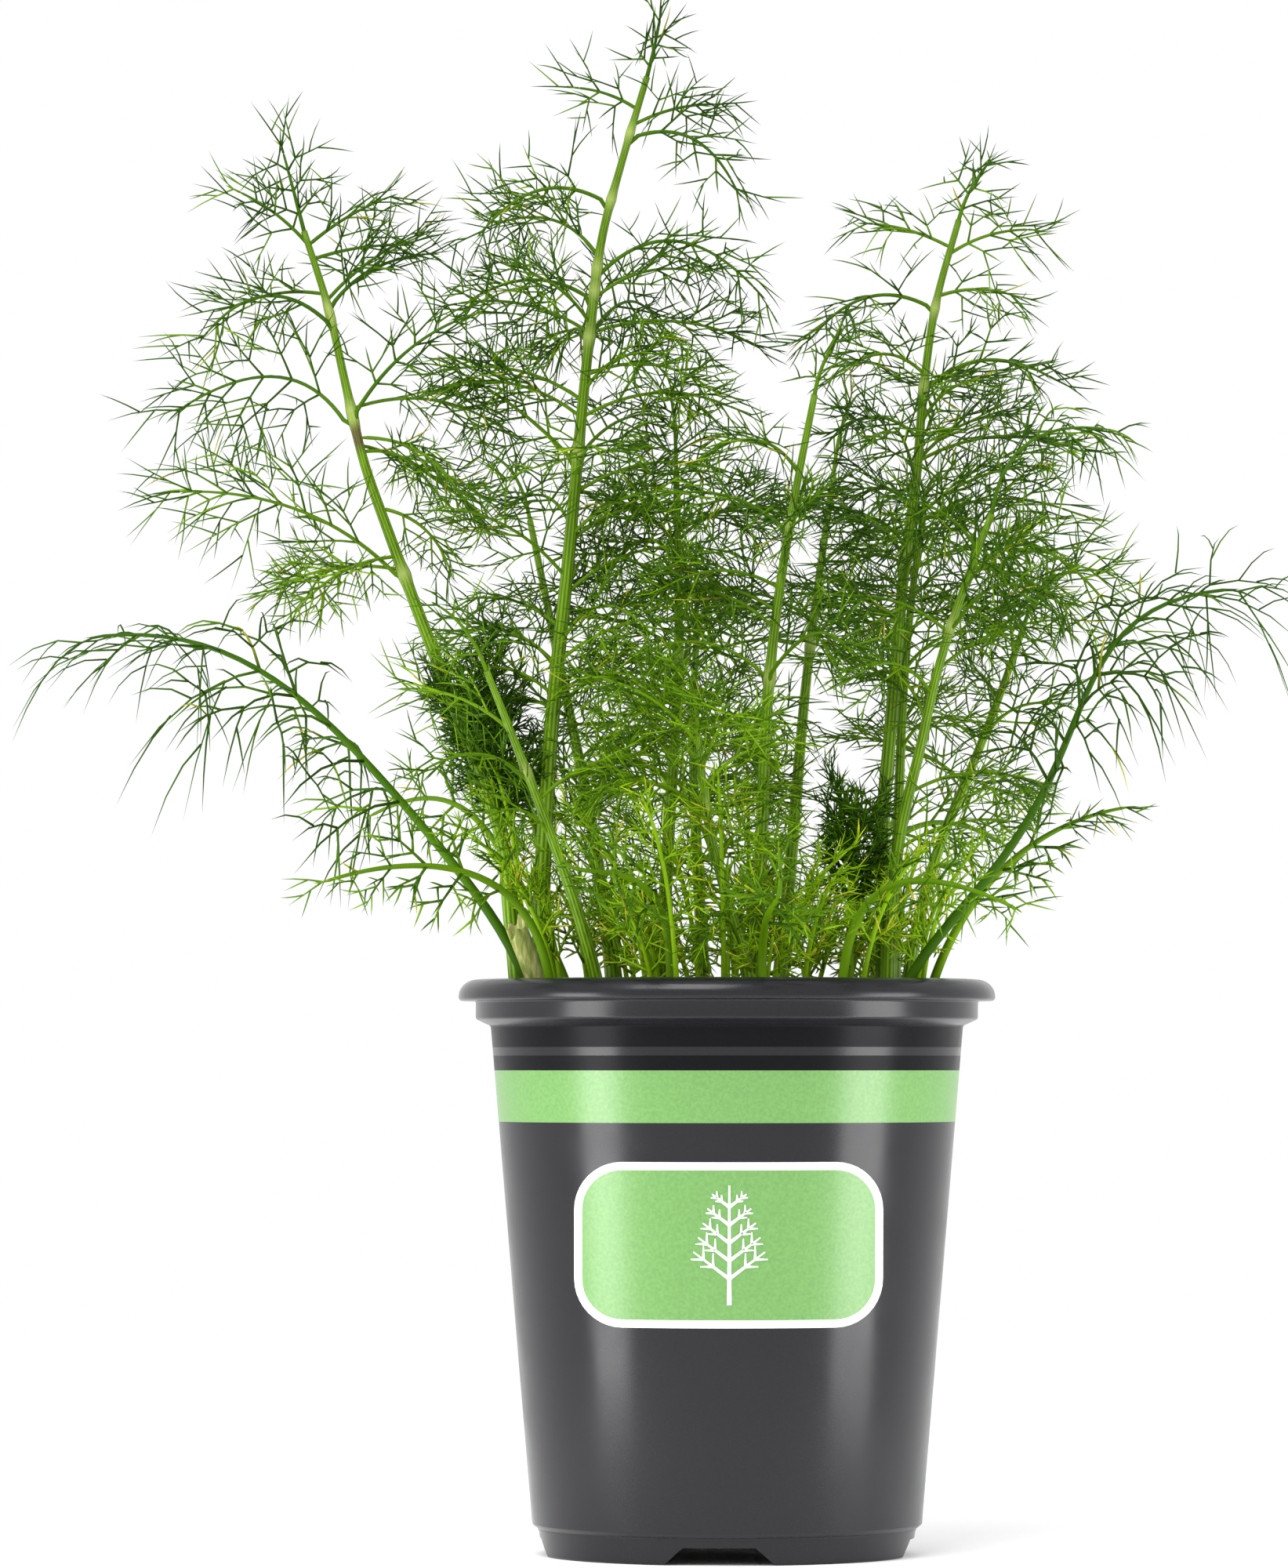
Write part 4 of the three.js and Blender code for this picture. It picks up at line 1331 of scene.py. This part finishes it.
# The radius of a basal leaf's stalk in the soil and of its midrib at the tip.
BASAL_STALK = (1.15 * MM, 0.3 * MM)
# Young leaves: how many make one piece, the turn in radians from one to the next, and how far out the last
# one stands, as a share of the lip's radius.
YOUNG_BATCH = 10
YOUNG_TURN = 2.4
YOUNG_REACH = 0.76
YOUNG_SHORTEST = 20 * MM
YOUNG_TALLEST = 60 * MM
# Past this distance from the axis towards +X they stay lower.
LOW_SIDE = 6 * MM
YOUNG_TALLEST_LOW = 42 * MM
# How deep a leaf's foot sits in the soil.
ROOTING = 3 * MM
# Each bushy shoot: its place from the pot's axis, its lean in degrees, its height and how many leaves
# crowd at its top.
BUSHY_SHOOTS = (
    (-36 * MM, 6 * MM, 14, 70 * MM, 27),
    (23 * MM, -8 * MM, -2, 44 * MM, 18),
)
BUSHY_POINTS = 12
BUSHY_HEADING = 175
# The share of a bushy shoot's height where its leaves start.
BUSHY_FROM = 0.64
BUSHY_THREAD = 5 * MM


class DILL_OT_basal_leaves(bpy.types.Operator):
    """Grow the long-stalked leaves that rise from the soil"""

    bl_idname = "dill.basal_leaves"
    bl_label = "Basal leaves"

    def execute(self, context):
        sizes = context.scene.dill_plant
        material = leaf_material("basal_leaf_green", sizes, -0.05)
        dark_material = leaf_material("long_leaf_green", sizes, -0.4)
        for number in range(1, BASAL_COUNT + 1):
            node = f"basal_leaf_{number}"
            line, side = leaf_line(node, foot_of(cad_points(node)), 4, 40)
            threads = Threads(sizes.seed + 500 + number)
            bare, spread, sag, thread = LONG_LEAVES.get(number, SHORT_LEAVES)
            long_leaf = number in LONG_LEAVES
            frond = Frond(
                threads, sizes.thread_width, sizes.thread_length * thread,
                sizes.leaf_spread * spread, 8 if long_leaf else 5, sag=sag, dryness=0.03)
            if long_leaf:
                line = line[:-LONG_LEAF_END]
            roll = 0.9 if long_leaf else threads.rng.uniform(-0.8, 0.8)
            frond.grow(line, side, bare, *BASAL_STALK, roll=roll)
            threads.piece(node + "_frond", dark_material if long_leaf else material, node)
        return {"FINISHED"}


class DILL_OT_young_leaves(bpy.types.Operator):
    """Fill the middle of the plant with small young leaves that rise from the soil"""

    bl_idname = "dill.young_leaves"
    bl_label = "Young leaves"

    def execute(self, context):
        sizes = context.scene.dill_plant
        material = leaf_material("young_leaf_green", sizes, 0.38)
        rng = np.random.default_rng(sizes.seed + 900)
        total = sizes.young_leaves
        for start in range(0, total, YOUNG_BATCH):
            threads = Threads(rng)
            for i in range(start, min(start + YOUNG_BATCH, total)):
                self.leaf(sizes, threads, i, math.sqrt((i + 0.5) / total))
            threads.piece(f"young_leaves_{start // YOUNG_BATCH + 1}", material)
        self.bushy_shoots(sizes)
        return {"FINISHED"}

    def leaf(self, sizes, threads, i, outward):
        """One young leaf, a share outward from the middle of the soil."""
        rng = threads.rng
        angle = YOUNG_TURN * i + rng.uniform(-0.3, 0.3)
        reach = RIM_RADIUS * YOUNG_REACH * outward
        foot = np.array([
            AXIS.x + reach * math.cos(angle), AXIS.y + reach * math.sin(angle), SOIL_TOP - ROOTING])
        heading = angle + rng.uniform(-0.8, 0.8)
        level = np.array([math.cos(heading), math.sin(heading), 0])
        tallest = YOUNG_TALLEST if foot[0] < AXIS.x + LOW_SIDE else YOUNG_TALLEST_LOW
        height = rng.uniform(YOUNG_SHORTEST, tallest)
        tip = foot + level * height * rng.uniform(0.15, 0.45) + UP * height
        line = bent_line(foot, foot + UP * height * 0.7, tip, 14)
        frond = Frond(
            threads, sizes.thread_width * 0.85, sizes.thread_length * 0.55,
            sizes.leaf_spread * rng.uniform(0.4, 0.62), 5, youth=0.14, dryness=0.14)
        frond.grow(line, np.cross(level, UP), 0.42, 0.6 * MM, 0.28 * MM)

    def bushy_shoots(self, sizes):
        """Short stalks whose crowns are tight dark brushes of unopened leaves."""
        threads = Threads(sizes.seed + 950)
        rng = threads.rng
        for across, away, lean, height, count in BUSHY_SHOOTS:
            foot = np.array([AXIS.x + across, AXIS.y + away, SOIL_TOP - ROOTING])
            stalk = arching_line(
                foot, BUSHY_HEADING, 90 - lean * 0.3, 90 - lean * 1.7, height, BUSHY_POINTS)
            threads.add(stalk, tapering(1.1 * MM, BUSHY_POINTS, 0.5), 0.6, 8)
            for i in range(count):
                share = BUSHY_FROM + (1 - BUSHY_FROM) * i / (count - 1)
                index = int(share * (BUSHY_POINTS - 1))
                heading = GOLDEN_TURN * i
                line = arching_line(
                    stalk[index], heading, rng.uniform(40, 65), rng.uniform(60, 85),
                    rng.uniform(0.2, 0.33) * height, 8)
                frond = Frond(
                    threads, sizes.thread_width * 0.9, BUSHY_THREAD, 0.11 * height, 5, youth=-0.22)
                frond.grow(line, np.cross(direction(heading, 0), UP), 0.15, 0.35 * MM, 0.2 * MM)
        threads.piece("bushy_shoots", leaf_material("bushy_green", sizes, -0.12))


# ---------------------------------------------------------------- stage


CAMERA_DISTANCE = 1.5
CAMERA_HEIGHT = 93.5 * MM
CAMERA_ASIDE = -15.9 * MM
VIEW_MIDDLE = 147.6 * MM
VIEW_HEIGHT = 301.2 * MM
SENSOR = 36
FLOOR_SIZE = 12
FLOOR_DROP = 0.05 * MM
FLOOR_FADE = 1.2
# Each soft box: its azimuth from the front, its distance, its height, the height that it faces, the width
# and height of its front, and its power.
SOFT_BOXES = {
    "left_strip_box": (-61, 0.215, 0.07, 0.07, 0.075, 0.14, 0.25),
    "right_strip_box": (66, 0.215, 0.07, 0.07, 0.095, 0.14, 0.27),
    "top_soft_box": (-25, 0.6, 0.9, 0.15, 0.6, 0.6, 7),
}


def floor_material():
    """White board that fades, away from the pot, into the white of the room."""
    finish = Finish("white_floor", 0.8, 0.2)
    finish.paint(finish.ramp(finish.noise(40, 2), (0.0, grey(0.95)), (1.0, grey(0.97))))
    distance = finish.node("VectorMath", operation="LENGTH")
    finish.feed(distance.inputs[0], finish.place())
    share = finish.maths("DIVIDE", distance.outputs["Value"], FLOOR_FADE)
    blend = finish.node("MixShader")
    finish.feed(blend.inputs[0], finish.ramp(share, (0.1, grey(0)), (1.0, grey(1))))
    finish.feed(blend.inputs[1], finish.shader.outputs[0])
    finish.feed(blend.inputs[2], finish.node("Emission").outputs[0])
    finish.feed(finish.tree.nodes["Material Output"].inputs["Surface"], blend.outputs[0])
    return finish.material


def point_at(thing, target):
    thing.rotation_euler = (Vector(target) - thing.location).to_track_quat("-Z", "Y").to_euler()


def add_soft_box(name, azimuth, distance, height, aim, width, tall, power):
    """A soft box that only lights: the camera doesn't see it."""
    light = bpy.data.lights.new(name, "AREA")
    light.shape = "RECTANGLE"
    light.size = width
    light.size_y = tall
    light.energy = power
    angle = math.radians(azimuth)
    lamp = bpy.data.objects.new(name, light)
    lamp.location = AXIS + Vector((math.sin(angle) * distance, -math.cos(angle) * distance, height))
    point_at(lamp, AXIS + Vector((0, 0, aim)))
    lamp.visible_camera = False
    bpy.context.scene.collection.objects.link(lamp)


class DILL_OT_stage(bpy.types.Operator):
    """Set the white floor, the soft lights and the camera"""

    bl_idname = "dill.stage"
    bl_label = "Stage"

    def execute(self, context):
        scene = context.scene
        bpy.ops.object.select_all(action="DESELECT")
        bpy.ops.mesh.primitive_plane_add(size=FLOOR_SIZE, location=(0, 0, -FLOOR_DROP))
        floor = context.active_object
        floor.name = "floor"
        bpy.ops.object.transform_apply(location=True, rotation=True, scale=True)
        floor.data.materials.append(floor_material())

        world = bpy.data.worlds.new("white_room")
        world.use_nodes = True
        background = world.node_tree.nodes["Background"]
        background.inputs["Color"].default_value = (1, 1, 1, 1)
        background.inputs["Strength"].default_value = 1.0
        scene.world = world
        for name, settings in SOFT_BOXES.items():
            add_soft_box(name, *settings)

        camera = bpy.data.cameras.new("camera")
        camera.sensor_width = SENSOR
        camera.lens = SENSOR * CAMERA_DISTANCE / VIEW_HEIGHT
        camera.clip_end = 50
        eye = bpy.data.objects.new("camera", camera)
        aside = AXIS.x + CAMERA_ASIDE
        eye.location = (aside, AXIS.y - CAMERA_DISTANCE, CAMERA_HEIGHT)
        point_at(eye, (aside, AXIS.y, VIEW_MIDDLE))
        scene.collection.objects.link(eye)
        scene.camera = eye
        scene.view_settings.view_transform = "Standard"
        return {"FINISHED"}


# ---------------------------------------------------------------- add-on


class DILL_PT_panel(bpy.types.Panel):
    """The steps that build the pot of dill"""

    bl_idname = "DILL_PT_panel"
    bl_label = "Potted Dill"
    bl_space_type = "VIEW_3D"
    bl_region_type = "UI"
    bl_category = "Potted Dill"

    def draw(self, context):
        for operator in OPERATORS:
            self.layout.operator(operator.bl_idname)
        for group in GROUPS:
            box = self.layout.box()
            settings = getattr(context.scene, group)
            for name in settings.__annotations__:
                box.prop(settings, name)


GROUPS = {"dill_pot": PotSizes, "dill_soil": SoilSizes, "dill_plant": PlantSizes}
OPERATORS = (
    DILL_OT_pot, DILL_OT_label, DILL_OT_soil, DILL_OT_stems, DILL_OT_stem_leaves, DILL_OT_side_leaves,
    DILL_OT_basal_leaves, DILL_OT_young_leaves, DILL_OT_stage,
)
CLASSES = (*GROUPS.values(), *OPERATORS, DILL_PT_panel)


def register():
    for kind in CLASSES:
        bpy.utils.register_class(kind)
    for name, group in GROUPS.items():
        setattr(bpy.types.Scene, name, PointerProperty(type=group))


def unregister():
    for name in GROUPS:
        delattr(bpy.types.Scene, name)
    for kind in reversed(CLASSES):
        bpy.utils.unregister_class(kind)


def main():
    register()
    for operator in OPERATORS:
        getattr(bpy.ops.dill, operator.bl_idname.split(".")[1])()


if __name__ == "__main__":
    main()
